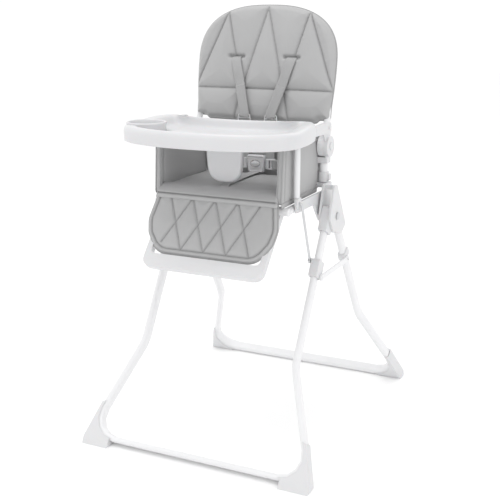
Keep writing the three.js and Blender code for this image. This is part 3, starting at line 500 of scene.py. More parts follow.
class Cushion:
    """A padded panel in its own plane: s across, t up, and its face out along the normal.

    Front and back are the padding's heights on its two sides, roll is how far in the edge is round,
    puff is how far the padding stands up between seams, and spread is how far that takes. A slot is
    (s, t, half its length, depth). The face gathers along the seams, tugs at the edge, is a little
    lumpy and sinks into its slots.
    """

    def __init__(self, outline, place, front, back, roll=0.012, seams=(), puff=0.004, spread=0.012, slots=()):
        self.outline = even(outline)
        self.place = np.array(place)
        self.front, self.back, self.roll = front, back, roll
        self.seams, self.puff, self.spread = [np.array(path) for path in seams], puff, spread
        self.slots = slots

    def seam_gap(self, points):
        """How far the nearest seam is, and how far along it."""
        gap = np.full(len(points), 1.0)
        along = np.zeros(len(points))
        for path in self.seams:
            near, run = distance_to(points, path)
            along = np.where(near < gap, run, along)
            gap = np.minimum(gap, near)
        return gap, along

    def face(self, points, side=1):
        """Height of the face over the plane, on the front or the back."""
        edge, rim = distance_to(points, self.outline, closed=True)
        rise = dome(edge / self.roll)
        if side < 0:
            return -self.back * rise - REAR_LUMP_DEPTH * rise * roughly(points, 18.0, 5.0)
        gap, along = self.seam_gap(points)
        full = 1 - np.exp(-np.minimum(gap, edge * 1.1) / self.spread)
        height = self.front * rise + self.puff * full
        height -= STITCH_DEPTH * np.exp(-((gap / STITCH_WIDTH) ** 2)) * rise
        gather = np.sin(along * 2 * np.pi / GATHER_PITCH + 3 * np.sin(along * 61))
        height += GATHER_DEPTH * gather * np.exp(-gap / GATHER_REACH) * (1 - np.exp(-gap / 0.0015)) * rise
        tug = np.sin(rim * 2 * np.pi / TUG_PITCH + 2 * np.sin(rim * 37))
        height += TUG_DEPTH * tug * np.exp(-edge / TUG_REACH) * rise
        height += LUMP_DEPTH * roughly(points, 16.0, 1.0) * rise
        for s, t, half, depth in self.slots:
            near, _ = distance_to(points, [(s - half, t), (s + half, t)])
            below = np.where(points[:, 1] < t, 0.55, 1.0)
            dip = 0.3 * depth * below * np.exp(-near / SLOT_REACH)
            height -= depth * np.exp(-((near / SLOT_WIDTH) ** 2)) + dip
        return height

    def world(self, points, heights):
        """Places in the chair's frame, from places in the plane and heights over it."""
        local = np.column_stack([points, heights, np.ones(len(points))])
        return (local @ self.place.T)[:, :3]

    def build(self, name, corners, columns, rows, body, slot="grey_leatherette"):
        """The closed piece, its front and back faces joined along the outline."""
        flat = patch(self.outline, corners, columns, rows).reshape(-1, 2)
        front, back = self.face(flat), self.face(flat, -1)
        cells = np.arange(rows * columns).reshape(rows, columns)
        border = np.concatenate([cells[0], cells[-1], cells[:, 0], cells[:, -1]])
        front[border] = back[border] = 0
        # Painted shade mask for the leather: dark down in each seam, and darker still in the strap slots.
        gap, _ = self.seam_gap(flat)
        seam = np.exp(-((gap / 0.0024) ** 2))
        for s, t, half, _ in self.slots:
            near, _ = distance_to(flat, [(s - half, t), (s + half, t)])
            seam = np.maximum(seam, np.exp(-((near / 0.004) ** 2)) * 1.3)
        points = np.vstack([self.world(flat, front), self.world(flat, back)])
        faces = grid_faces(rows, columns) + grid_faces(rows, columns, len(flat), flip=True)
        shade = {"seam": np.concatenate([seam, np.zeros(len(flat))])}
        return close_up(new_piece(name, points, faces, slot, body, shade))

    def seam_cord(self, name, body):
        """The darker cord that lies at the bottom of each seam: painted shade in the seam's groove."""
        cords = []
        for index, path in enumerate(self.seams):
            count = max(8, int(run_along(path)[-1] / 0.003))
            fine = resampled(path, np.linspace(0, 1, count))
            fine = fine[distance_to(fine, self.outline, closed=True)[0] > 0.002]
            path = self.world(fine, self.face(fine))
            cords.append(tube(f"{name}_{index}", path, SEAM_CORD, "seam_leatherette", body, sides=6))
        return cords

    def piping(self, name, radius, body, height=0.0, inset=0.0):
        """The corded welt around the outline, at a height over the plane."""
        inward = self.outline.mean(0) - self.outline
        inward /= np.linalg.norm(inward, axis=1)[:, None]
        path = self.world(self.outline + inward * inset, np.full(len(self.outline), height))
        return tube(name, path, radius, "piping_leatherette", body, closed=True)


def tube(name, path, radius, slot, body, closed=False, sides=10):
    """A round cord along a path, with rounded ends when it is open."""
    path = np.asarray(path, float)
    ahead = np.roll(path, -1, 0) - path if closed else np.diff(path, axis=0, append=path[-1:])
    behind = path - np.roll(path, 1, 0) if closed else np.diff(path, axis=0, prepend=path[:1])
    tangent = ahead + behind
    tangent /= np.linalg.norm(tangent, axis=1)[:, None]
    side = np.cross(tangent[0], [0.3, 0.2, 0.93])
    rings = []
    for place, along in zip(path, tangent):
        side = side - along * (side @ along)
        side /= np.linalg.norm(side)
        over = np.cross(along, side)
        angle = np.linspace(0, 2 * np.pi, sides, endpoint=False)[:, None]
        rings.append(place + radius * (np.cos(angle) * side + np.sin(angle) * over))
    points = list(np.vstack(rings))
    count = len(path)
    if closed:
        points += list(rings[0])
        return close_up(new_piece(name, points, grid_faces(count + 1, sides, closed=True), slot, body), 1e-4)
    faces = grid_faces(count, sides, closed=True)
    for ring, end, out in ((0, path[0], -tangent[0]), (count - 1, path[-1], tangent[-1])):
        points.append(end + out * radius * 0.7)
        tip = len(points) - 1
        faces += [(ring * sides + k, ring * sides + (k + 1) % sides, tip) for k in range(sides)]
    return close_up(new_piece(name, points, faces, slot, body), 1e-7)


SELVEDGE = 0.12


def band(name, path, acrosses, body, stands_for=(), narrowed=1.0):
    """Flat webbing along a path; each place has its own direction across."""
    sizes = bpy.context.scene.high_chair_sizes
    width, depth = sizes.web_width * narrowed, sizes.web_depth
    path = np.asarray(path, float)
    acrosses = np.asarray(acrosses, float)
    if acrosses.ndim == 1:
        acrosses = np.repeat(acrosses[None], len(path), 0)
    shares = np.linspace(0, 1, len(path))
    fine = np.linspace(0, 1, max(24, len(path) * 5))
    path = smooth_path(path, fine)
    acrosses = np.stack([np.interp(fine, shares, acrosses[:, k]) for k in range(3)], 1)
    tangent = np.gradient(path, axis=0)
    tangent /= np.linalg.norm(tangent, axis=1)[:, None]
    shares_across = np.linspace(-0.5, 0.5, 13)
    section = [(u, 0.5 * math.sqrt(max(SELVEDGE, 1 - (2 * abs(u)) ** 14))) for u in shares_across]
    section += [(u, -h) for u, h in reversed(section)]
    run = run_along(path)
    points, across, along = [], [], []
    for place, direction, ahead, so_far in zip(path, acrosses, tangent, run):
        direction = direction - ahead * (direction @ ahead)
        direction /= np.linalg.norm(direction)
        over = np.cross(ahead, direction)
        for u, h in section:
            points.append(place + direction * u * width + over * h * depth)
            across.append(u * width)
            along.append(so_far)
    count = len(section)
    faces = grid_faces(len(path), count, closed=True)
    faces += [tuple(range(count)), tuple(reversed(range((len(path) - 1) * count, len(path) * count)))]
    lengths = {"across": across, "along": along}
    piece = close_up(new_piece(name, points, faces, "grey_webbing", body, lengths), 1e-8)
    if stands_for:
        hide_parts(*stands_for)
    return piece


def smooth_path(points, shares):
    """A Catmull-Rom curve through points, at those shares of its knots."""
    points = np.asarray(points, float)
    padded = np.vstack([2 * points[0] - points[1], points, 2 * points[-1] - points[-2]])
    places = []
    for share in shares:
        whole = min(int(share * (len(points) - 1)), len(points) - 2)
        x = share * (len(points) - 1) - whole
        a, b, c, d = padded[whole : whole + 4]
        bend = 2 * a - 5 * b + 4 * c - d
        twist = 3 * b - a - 3 * c + d
        places.append(0.5 * (2 * b + (c - a) * x + bend * x**2 + twist * x**3))
    return np.array(places)


def plane(origin, across, up):
    """A matrix whose columns are across, up and the normal, at an origin."""
    across, up = Vector(across).normalized(), Vector(up).normalized()
    made = Matrix.Identity(4)
    for column, vector in enumerate((across, up, across.cross(up), Vector(origin))):
        for row in range(3):
            made[row][column] = vector[row]
    return made


def soft(node):
    """Hides the node of the frame that a padded piece stands for."""
    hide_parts(node)


# ---------------------------------------------------------------- the backrest
SEAM_LEVEL = 0.059
VALLEY = 0.056
STRAP_SLOT = (0.0735, 0.1375)


def back_cushion(sizes):
    """The tall cushion: narrow at the foot, widest half way, with a round top."""
    low, high = PAD
    lean, depth = sizes.back_lean, sizes.back_depth
    up = Vector((0, math.sin(lean), math.cos(lean)))
    height = ((high.z - low.z) - depth * math.sin(lean)) / math.cos(lean)
    foot = Vector((0, low.y + depth / 2 * math.cos(lean), low.z + depth / 2 * math.sin(lean)))
    half = high.x + 0.002
    shoulder, squareness = 0.47 * height, 2.55
    side = [(half - 0.007 * (1 - t / shoulder) ** 2, t) for t in np.linspace(0.024, shoulder, 10)]
    bow = 2 / squareness
    rise = height - shoulder
    angles = np.linspace(0, np.pi / 2, 26)[1:-1]
    crown = [(half * math.cos(a) ** bow, shoulder + rise * math.sin(a) ** bow) for a in angles]
    notch = rounded(
        [
            (0.0, -0.018, 0),
            (half - 0.040, -0.017, 0.008),
            (half - 0.031, -0.009, 0.006),
            (half - 0.005, -0.009, 0.008),
            (half - 0.0035, 0.02, 0),
        ]
    )[:-1]
    right = np.vstack([notch, side, crown])
    outline = np.vstack([right, [[0, height]], (right * [-1, 1])[:0:-1]])
    peak = height - 0.007
    side_peak = peak - 0.009
    zigzag = [
        (-half, SEAM_LEVEL),
        (-0.105, side_peak),
        (-VALLEY, SEAM_LEVEL),
        (0.003, peak),
        (VALLEY, SEAM_LEVEL),
        (0.105 + 0.008, side_peak),
        (half, SEAM_LEVEL),
    ]
    seams = [
        zigzag,
        [(-half, SEAM_LEVEL), (half, SEAM_LEVEL)],
        [(-VALLEY, SEAM_LEVEL), (-0.071, -0.017)],
        [(VALLEY, SEAM_LEVEL), (0.075, -0.017)],
    ]
    slots = [(sign * STRAP_SLOT[0], STRAP_SLOT[1], 0.018, 0.0075) for sign in (-1, 1)]
    place = plane(foot, (1, 0, 0), up)
    sewing = {"seams": seams, "puff": sizes.puff, "spread": 0.017, "slots": slots}
    cushion = Cushion(outline, place, depth / 2 - 0.003, depth / 2 - 0.002, roll=0.013, **sewing)
    waist, cheek, brow = half - 0.004, half * 0.86, height * 0.84
    return cushion, [(-waist, 0.02), (waist, 0.02), (cheek, brow), (-cheek, brow)]


class HIGHCHAIR_OT_backrest(bpy.types.Operator):
    """Sew the backrest cushion, with its zigzag stitched channels, strap slots, piping, and painted shade in
    its seams
    """

    bl_idname = "high_chair.backrest"
    bl_label = "Backrest cushion"

    def execute(self, context):
        sizes = context.scene.high_chair_sizes
        cushion, corners = back_cushion(sizes)
        rows = int(sizes.grid * 0.76)
        piece = cushion.build("backrest_cushion", corners, sizes.grid, rows, "backrest")
        soft("backrest_pad")
        cushion.piping("backrest_piping", sizes.piping, "backrest")
        cushion.seam_cord("backrest_seam", "backrest")
        return {"FINISHED"}


# ---------------------------------------------------------------- seat, wings and lower back
def seat_cushion():
    """The cushion on the seat board, with a slot for the crotch strap."""
    low, high = SEAT
    half = high.x
    middle = (low.z + high.z) / 2 - 0.001
    front = low.y - 0.004
    outline = flared(half, front, 0.012, half, high.y, 0.014)
    place = plane((0, 0, middle), (1, 0, 0), (0, 1, 0))
    sewing = {"puff": 0.0045, "spread": 0.03, "slots": [(0.0, low.y + 0.016, 0.019, 0.006)]}
    cushion = Cushion(outline, place, high.z - middle - 0.002, middle - low.z, roll=0.011, **sewing)
    return cushion, box_corners(-half, low.y, half, high.y)


class HIGHCHAIR_OT_seat(bpy.types.Operator):
    """Sew the seat cushion, with a slot for the crotch strap and a corded edge"""

    bl_idname = "high_chair.seat"
    bl_label = "Seat cushion"

    def execute(self, context):
        cushion, corners = seat_cushion()
        piece = cushion.build("seat_cushion", corners, 150, 116, "seat")
        soft("seat_pad")
        cushion.piping("seat_piping", context.scene.high_chair_sizes.piping, "seat")
        return {"FINISHED"}


HEM_SIDE, HEM_FOOT, HEM_TOP, HEM_DEPTH = 0.1592, 0.5948, 0.612, 0.0012


class HIGHCHAIR_OT_wings(bpy.types.Operator):
    """Sew the two side panels with a banded front edge"""

    bl_idname = "high_chair.wings"
    bl_label = "Side panels"

    def execute(self, context):
        sizes = context.scene.high_chair_sizes
        for name, sign in SIDES.items():
            node = f"side_panel_{name}"
            low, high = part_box(node)
            middle = (low.x + high.x) / 2
            depth = high.x - low.x
            rear = high.y + 0.019
            outline = rounded(
                [
                    (low.y - 0.004, low.z, 0.008),
                    (rear, low.z, 0.012),
                    (rear, high.z - 0.006, 0.016),
                    (low.y + 0.005, high.z + 0.006, 0.012),
                ]
            )
            place = plane((middle, 0, 0), (0, 1, 0), (0, 0, 1))
            border = [(low.y + 0.014, low.z), (low.y + 0.021, high.z)]
            sewing = {"seams": [border], "puff": 0.0022}
            cushion = Cushion(outline, place, depth / 2 - 0.001, depth / 2 - 0.0005, roll=0.006, **sewing)
            corners = box_corners(low.y, low.z, rear, high.z)
            piece = cushion.build(f"wing_{name}", corners, 76, 52, "seat")
            soft(node)
            cushion.seam_cord(f"wing_seam_{name}", "seat")
            self.hem(name, sign, low.y, rear)
            for edge, face in (("inner", -1), ("outer", 1)):
                height = face * (depth / 2 - 0.0015)
                cushion.piping(f"wing_piping_{edge}_{name}", sizes.piping * 0.8, "seat", height, 0.0012)
        return {"FINISHED"}

    def hem(self, name, sign, front, rear):
        """The thin edge that hangs from a side panel to the seat's rail."""
        skirt = [(*corner, 0.002) for corner in box_corners(front + 0.004, HEM_FOOT, rear - 0.006, HEM_TOP)]
        place = plane((sign * HEM_SIDE, 0, 0), (0, 1, 0), (0, 0, 1))
        hem = Cushion(rounded(skirt), place, HEM_DEPTH, HEM_DEPTH, HEM_DEPTH)
        ends = box_corners(front, 0.594, rear, 0.613)
        hem.build(f"wing_hem_{name}", ends, 60, 8, "seat")


class HIGHCHAIR_OT_lower_back(bpy.types.Operator):
    """Sew the cushion behind the child's hips"""

    bl_idname = "high_chair.lower_back"
    bl_label = "Lower back cushion"

    def execute(self, context):
        sizes = context.scene.high_chair_sizes
        low, high = LOWER
        middle = (low.y + high.y) / 2
        half, foot = high.x + 0.003, low.z - 0.014
        outline = flared(half, foot, 0.012, half, high.z, 0.01)
        seams = [[(side * half * 0.38, foot), (side * half * 0.43, high.z)] for side in (-1, 1)]
        place = plane((0, middle, 0), (1, 0, 0), (0, 0, 1))
        sewing = {"seams": seams, "puff": 0.003, "spread": 0.018}
        cushion = Cushion(outline, place, middle - low.y - 0.001, high.y - middle, roll=0.008, **sewing)
        corners = box_corners(-half, foot, half, high.z)
        piece = cushion.build("lower_back_cushion", corners, 110, 50, "rear_frame")
        soft("lower_back_pad")
        cushion.seam_cord("lower_back_seam", "rear_frame")
        cushion.piping("lower_back_piping", sizes.piping, "rear_frame")
        return {"FINISHED"}


# ---------------------------------------------------------------- the calf pad
CALF_FALL = (0, 56, 114)
DIAMOND = 0.058


def calf_cushion(sizes):
    """The pad in front of the footrest, quilted in diamonds inside a flat border."""
    low, high = CALF
    depth = sizes.calf_depth
    fall = Vector(CALF_FALL).normalized()
    top = Vector((0, -0.222, high.z))
    span = (high.z - low.z) / fall.z - 0.003
    widest = 0.165
    foot, head = 0.0115 - span, 0.0075
    edge = [(0.128, -span, 0.05), (0.158, -0.084, 0.03), (widest, -0.052, 0.05), (0.152, 0.016, 0.006)]
    outline = rounded(mirrored(edge), 9)
    tops = [-0.116 + DIAMOND * k for k in range(5)]
    feet = [-0.123 + DIAMOND * k for k in range(5)]
    lines = [[(tops[k], head), (feet[k + 1], foot)] for k in range(4)]
    lines += [[(tops[k + 1], head), (feet[k], foot)] for k in range(4)]
    lines[4][1] = (-0.118, -0.103)
    inner = [(0.121, foot, 0.043), (0.148, -0.082, 0.028)]
    inner += [(widest - 0.0095, -0.052, 0.045), (0.143, head, 0.004)]
    border = rounded(mirrored(inner), 9)
    lines.append(np.vstack([border, border[:1]]))
    place = plane(top + Vector((0, fall.z, -fall.y)) * (depth / 2 - 0.006), (1, 0, 0), fall)
    sewing = {"seams": lines, "puff": 0.0042, "spread": 0.0105}
    cushion = Cushion(outline, place, depth / 2 - 0.0015, depth / 2 - 0.001, roll=0.007, **sewing)
    corners = [(-0.121, -span), (0.121, -span), (0.152, 0.016), (-0.152, 0.016)]
    return cushion, corners


class HIGHCHAIR_OT_calf_pad(bpy.types.Operator):
    """Quilt the calf pad in diamonds and bind its edge"""

    bl_idname = "high_chair.calf_pad"
    bl_label = "Calf pad"

    def execute(self, context):
        sizes = context.scene.high_chair_sizes
        cushion, corners = calf_cushion(sizes)
        piece = cushion.build("calf_cushion", corners, 170, 84, None)
        soft("calf_pad")
        welt = cushion.piping("calf_piping", sizes.piping, None, 0.0008)
        for sewn in (piece, welt, *cushion.seam_cord("calf_seam", None)):
            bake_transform(sewn)
        return {"FINISHED"}


FOLD_HALF, FOLD_FLARE, FOLD_DEPTH = 0.1495, 0.007, 0.0038
CREASE_AT = 0.8


class HIGHCHAIR_OT_front_fold(bpy.types.Operator):
    """Sew the fold that joins the seat cushion to the calf pad over the seat's front rail"""

    bl_idname = "high_chair.front_fold"
    bl_label = "Front fold"

    def execute(self, context):
        over_rail = [(-0.1875, 0.6268), (-0.197, 0.6262), (-0.2075, 0.6236)]
        down_front = [(-0.2165, 0.6176), (-0.2235, 0.6092), (-0.2275, 0.5995)]
        centre_line = smooth_path(over_rail + down_front, np.linspace(0, 1, 46))
        ahead = np.gradient(centre_line, axis=0)
        ahead /= np.linalg.norm(ahead, axis=1)[:, None]
        outward = np.column_stack([ahead[:, 1], -ahead[:, 0]])
        run = np.linspace(0, 1, len(centre_line))
        groove = np.exp(-(((run - CREASE_AT) / 0.03) ** 2))
        half = FOLD_DEPTH * dome(np.minimum(run, 1 - run) / 0.14)
        across = np.linspace(-1, 1, 131)
        points, shade = [], []
        for side in (1, -1):
            for row, share in enumerate(run):
                reach = FOLD_HALF + FOLD_FLARE * share
                for s in across:
                    edge = dome((1 - abs(s)) * reach / 0.006)
                    wave = 0.0004 * noise.noise(Vector((s * 9, share * 3, 2.0)))
                    lift = half[row] * edge * side
                    if side > 0:
                        swell = (0.0012 - 0.0024 * groove[row]) * edge
                        lift += swell * min(1, half[row] / FOLD_DEPTH) + wave * edge
                    y, z = centre_line[row] + outward[row] * lift
                    points.append((s * reach, y, z))
                    # The crease rows carry painted shade: the seam mask darkens the leather along the fold's
                    # crease.
                    shade.append(groove[row] if side > 0 else 0)
        faces = grid_faces(len(run), len(across), flip=True)
        faces += grid_faces(len(run), len(across), len(run) * len(across))
        fold = close_up(new_piece("front_fold", points, faces, "grey_leatherette", None, {"seam": shade}))
        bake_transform(fold)
        # The crease cord is darker leather laid along the crease: painted shade in the fold.
        row = int(CREASE_AT * len(run))
        y, z = centre_line[row] + outward[row] * (half[row] + 0.0002)
        reach = FOLD_HALF + FOLD_FLARE * run[row]
        crease = [(s * reach, y, z) for s in np.linspace(-0.97, 0.97, 90)]
        cord = tube("front_fold_seam", crease, 0.0008, "seam_leatherette", None, sides=6)
        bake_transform(cord)
        return {"FINISHED"}


# ---------------------------------------------------------------- the harness
BUTTON_HALF = (0.0112, 0.0078)
BUTTON_WELL = (0.0145, 0.0105)
WIRE = 0.0013


class BuckleCase(Cushion):
    """The buckle's moulding: a sunk panel, with a lip and a well for the push button."""

    middle = 0.0

    def face(self, points, side=1):
        edge, _ = distance_to(points, self.outline, closed=True)
        height = self.front * dome(edge / 0.0032)
        if side < 0:
            return -height
        ring = np.hypot(points[:, 0] / BUTTON_WELL[0], (points[:, 1] - self.middle) / BUTTON_WELL[1])
        panel = np.clip((edge - 0.0038) / 0.0012, 0, 1)
        lip = np.exp(-(((ring - 1) / 0.1) ** 2))
        well = np.clip((1 - ring) / 0.08, 0, 1)
        return height - 0.0011 * panel * (1 - lip) - 0.0012 * well


class HIGHCHAIR_OT_harness(bpy.types.Operator):
    """Thread the harness webbing through its slots, adjusters and buckle"""

    bl_idname = "high_chair.harness"
    bl_label = "Harness"

    def execute(self, context):
        cushion, _ = back_cushion(context.scene.high_chair_sizes)
        for name, sign in SIDES.items():
            low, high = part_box(f"strap_adjuster_{name}")
            glide = (low + high) / 2
            self.shoulder(name, sign, cushion, glide)
            self.adjuster(name, low, high)
            self.waist(name, sign)
            self.lower_shoulder(name, sign, glide)
        self.crotch()
        self.buckle()
        return {"FINISHED"}

    def shoulder(self, name, sign, cushion, glide):
        """Out of its slot, over the backrest and into the wire glide, with the tail doubled over it."""
        slot_at = np.array([[sign * STRAP_SLOT[0], STRAP_SLOT[1]]])
        out = float(cushion.face(slot_at)[0])
        mouth = Vector(cushion.world(slot_at, [out + 0.001])[0])
        inside = Vector(cushion.world(slot_at, [out - 0.012])[0])
        lip = Vector(cushion.world(slot_at - [[0, 0.007]], [out + 0.0125])[0])
        entry = glide + Vector((0, 0.0012, 0.011))
        rest = [self.clear_of(cushion, lip.lerp(entry, share), 0.0045) for share in (0.2, 0.4, 0.6, 0.8)]
        path = [inside, mouth, lip, *rest, entry, glide + Vector((0, 0.0022, -0.001))]
        slant = (entry - lip).normalized()
        across = slant.cross(Vector((0, -1, 0.1))).normalized()
        across = across if across.x > 0 else -across
        flat = Vector((1, 0, 0))
        turning = flat.lerp(across, 0.7)
        turn = [flat, flat, turning] + [across] * 5 + [turning]
        band(f"shoulder_web_{name}", path, turn, "backrest", [f"shoulder_strap_{name}"])
        over = Vector((0, -0.0021, 0.0003))
        tail = [glide + Vector((0, -0.0022, 0.002)), entry + over, rest[3] + over]
        tail += [rest[2] + over, rest[1].lerp(rest[2], 0.4) + over]
        band(f"shoulder_tail_{name}", tail, across, "backrest")

    def buckle(self):
        """A moulded case with a framed face and an oval push button."""
        low, high = BUCKLE
        middle = (low + high) / 2
        half, tall, depth = (high.x - low.x) / 2 + 0.001, (high.z - low.z) / 2, (high.y - low.y) / 2
        outline = flared(half - 0.004, middle.z - tall, 0.007, half, middle.z + tall, 0.007, 8)
        place = plane((0, middle.y, 0), (1, 0, 0), (0, 0, 1))
        case = BuckleCase(outline, place, depth, depth)
        case.middle = middle.z
        corners = box_corners(-half, low.z, half, high.z)
        shell = case.build("buckle_case", corners, 74, 64, "seat", "white_plastic")
        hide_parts("buckle_body")
        face = middle.y - depth
        rows = [(1, 0.004), (1.02, 0.0016), (0.97, 0.0002), (0.86, -0.0009), (0.6, -0.0019), (0.3, -0.0024)]
        turns = np.linspace(0, 2 * np.pi, 48, endpoint=False)
        rings = []
        for share, out in rows:
            wide, tall = BUTTON_HALF[0] * share, BUTTON_HALF[1] * share
            rings.append([(wide * math.cos(a), face + out, middle.z + tall * math.sin(a)) for a in turns])
        oval, faces = capped(rings, (0, face + 0.004, middle.z), (0, face - 0.0026, middle.z))
        button = close_up(new_piece("buckle_oval", oval, faces, "white_plastic", "harness_button"), 1e-7)
        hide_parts("buckle_button")

    def clear_of(self, cushion, place, gap):
        """A place moved out to at least that gap over a cushion's face."""
        frame_of = Matrix(cushion.place)
        local = frame_of.inverted() @ place
        around = [[local.x + off, local.y] for off in (-0.011, 0, 0.011)]
        local.z = max(local.z, float(cushion.face(np.array(around)).max()) + gap)
        return frame_of @ local

    def adjuster(self, name, low, high):
        """A bent wire glide with a middle bar."""
        middle = (low + high) / 2
        half, tall = (high.x - low.x) / 2, (high.z - low.z) / 2
        loop = even(flared(half, -tall, 0.004, half - 0.002, tall, 0.004), 0.0015)
        path = [(middle.x + s, middle.y, middle.z + t) for s, t in loop]
        glide = tube(f"glide_{name}", path, WIRE, "white_plastic", "backrest", closed=True)
        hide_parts(f"strap_adjuster_{name}")
        bar_path = [(middle.x + s, middle.y, middle.z) for s in (-half, -half / 2, half / 2, half)]
        tube(f"glide_bar_{name}", bar_path, WIRE, "white_plastic", "backrest")

    def waist(self, name, sign):
        """From the tongue round to the edge of the lower back cushion."""
        low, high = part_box(f"waist_strap_{name}")
        near, far = (low.x, high.x) if sign > 0 else (high.x, low.x)
        z = (low.z + high.z) / 2
        y = (low.y + high.y) / 2
        tongue_low, tongue_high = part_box(f"buckle_tongue_{name}")
        hook = tongue_high.x - 0.008 if sign > 0 else tongue_low.x + 0.008
        middle = (tongue_low.y + tongue_high.y) / 2
        path = [
            (hook, middle, z),
            (near + sign * 0.004, y - 0.0045, z),
            (near + sign * 0.03, y + 0.002, z - 0.001),
            (far - sign * 0.025, y + 0.005, z + 0.001),
            (far, y + 0.004, z),
        ]
        upright = (0, 0, 1)
        band(f"waist_web_{name}", path, upright, "rear_frame", [f"waist_strap_{name}"])
        loop = [
            (hook + sign * 0.001, middle - 0.0042, z),
            (hook + sign * 0.008, middle - 0.0044, z),
            (near + sign * 0.022, y - 0.0035, z - 0.0005),
        ]
        band(f"waist_tail_{name}", loop, upright, "rear_frame", narrowed=0.98)

    def lower_shoulder(self, name, sign, glide):
        """From the wire glide down to the tongue, across the backrest's hinge."""
        low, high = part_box(f"buckle_tongue_{name}")
        foot = Vector(((low.x + high.x) / 2 - sign * 0.004, high.y + 0.0018, high.z - 0.006))
        start = glide + Vector((0, 0.0022, -0.002))
        path = [
            start,
            start + Vector((sign * 0.001, 0.003, -0.018)),
            start.lerp(foot, 0.5) + Vector((sign * 0.003, 0.006, 0)),
            foot + Vector((0, 0.001, 0.02)),
            foot,
        ]
        piece = band(f"lower_shoulder_web_{name}", path, (1, 0, 0), None, narrowed=0.96)
        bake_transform(piece)

    def crotch(self):
        """Out of the slot in the seat cushion and up to the buckle."""
        low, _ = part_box("crotch_strap")
        cushion, _ = seat_cushion()
        buckle_y = (BUCKLE[0].y + BUCKLE[1].y) / 2
        rear = buckle_y - 0.012
        mouth = Vector((0, low.y - 0.001, SEAT[1].z - 0.004))
        rest = [
            self.clear_of(cushion, Vector((0, low.y + (rear - low.y) * share, 0)), 0.0016 + 0.004 * share)
            for share in (0.07, 0.28, 0.52, 0.76, 1.0)
        ]
        path = [mouth - Vector((0, 0, 0.01)), mouth, *rest, (0, buckle_y - 0.003, BUCKLE[0].z + 0.006)]
        band("crotch_web", path, (1, 0, 0), "seat", ["crotch_strap"])


# ---------------------------------------------------------------- the tray
RING_COUNT = 420
REAR_RISE = 0.006
BASIN_CENTRE = (0.0, -0.228)
CUP_CENTRE = Vector((-0.166, -0.243))
CUP_BORE = 0.0455


def quadratic(a, b, c, count):
    """Places on a curve from a to c that bends towards b, without the last one."""
    a, b, c = map(np.array, (a, b, c))
    shares = np.linspace(0, 1, count + 1)[:-1]
    return [(1 - k) ** 2 * a + 2 * k * (1 - k) * b + k * k * c for k in shares]


def cubic(a, b, c, d, count):
    """Places on a curve from a to d that bends towards b and c, without the last one."""
    a, b, c, d = map(np.array, (a, b, c, d))
    shares = np.linspace(0, 1, count + 1)[:-1]
    return [(1 - k) ** 3 * a + 3 * k * (1 - k) ** 2 * b + 3 * k * k * (1 - k) * c + k**3 * d for k in shares]


def tray_ring(inset, side_inset):
    """The tray's outline, drawn in from its front and back by one amount and from its sides by another."""
    half = TRAY[1].x - side_inset
    back, front = TRAY[1].y - inset, TRAY[0].y - 0.0006 + inset
    widest, bow = (half, -0.235), (0.062, front + 0.003)
    right = quadratic((half - 0.018, back), (half, back - 0.06), widest, 18)
    right += cubic(widest, (half, -0.3 + inset), (half - 0.05, front + 0.017), bow, 26)
    right += quadratic(bow, (0, front - 0.002), (-bow[0], bow[1]), 16)[:8]
    right = np.array(right)
    left = (right * [-1, 1])[::-1]
    horn, hollow = half - 0.046, 0.068
    tail = [(-half + 0.018, back), (-half + 0.032, back - 0.001)]
    rear = quadratic((-horn, back - 0.006), (0, back - hollow), (horn, back - 0.006), 30)
    end = [(horn, back - 0.006), (half - 0.032, back - 0.001)]
    ring = even(np.vstack([right, [[0, front + 0.0005]], left[:-1], tail, rear, end]), 0.0035)
    closed = np.vstack([ring, ring[:1]])
    ring = resampled(closed, np.linspace(0, 1, RING_COUNT + 1))[:-1]
    for _ in range(14):
        ring = 0.5 * ring + 0.25 * (np.roll(ring, 1, 0) + np.roll(ring, -1, 0))
    return ring


def filled(ring, centre):
    """Smaller and smaller rings inside a level ring, and the place at their centre."""
    middle = np.array([*centre, ring[0][2]])
    return [middle + (ring - middle) * share for share in (0.86, 0.66, 0.44, 0.2)], middle


def turned(name, profile, centre, slot, body, sides=72):
    """A solid turned about a vertical line, from a profile of (radius, z) that starts and ends on it."""
    x, y = centre
    angles = [2 * math.pi * k / sides for k in range(sides)]
    rings = [[(x + r * math.cos(a), y + r * math.sin(a), z) for a in angles] for r, z in profile[1:-1]]
    points, faces = capped(rings, (x, y, profile[0][1]), (x, y, profile[-1][1]))
    return close_up(new_piece(name, points, faces, slot, body), 1e-7)


def cut_by(piece, tool):
    """Cuts a tool's shape out of a piece, and removes the tool."""
    cutter = piece.modifiers.new("cut", "BOOLEAN")
    cutter.operation, cutter.solver, cutter.object = "DIFFERENCE", "EXACT", tool
    bpy.context.view_layer.update()
    graph = bpy.context.evaluated_depsgraph_get()
    result = bpy.data.meshes.new_from_object(piece.evaluated_get(graph))
    piece.modifiers.clear()
    piece.data = result
    bpy.data.objects.remove(tool)


class Tongue(Cushion):
    """A plain moulded panel with a round edge."""

    def face(self, points, side=1):
        edge, _ = distance_to(points, self.outline, closed=True)
        return side * self.front * dome(edge / 0.006)


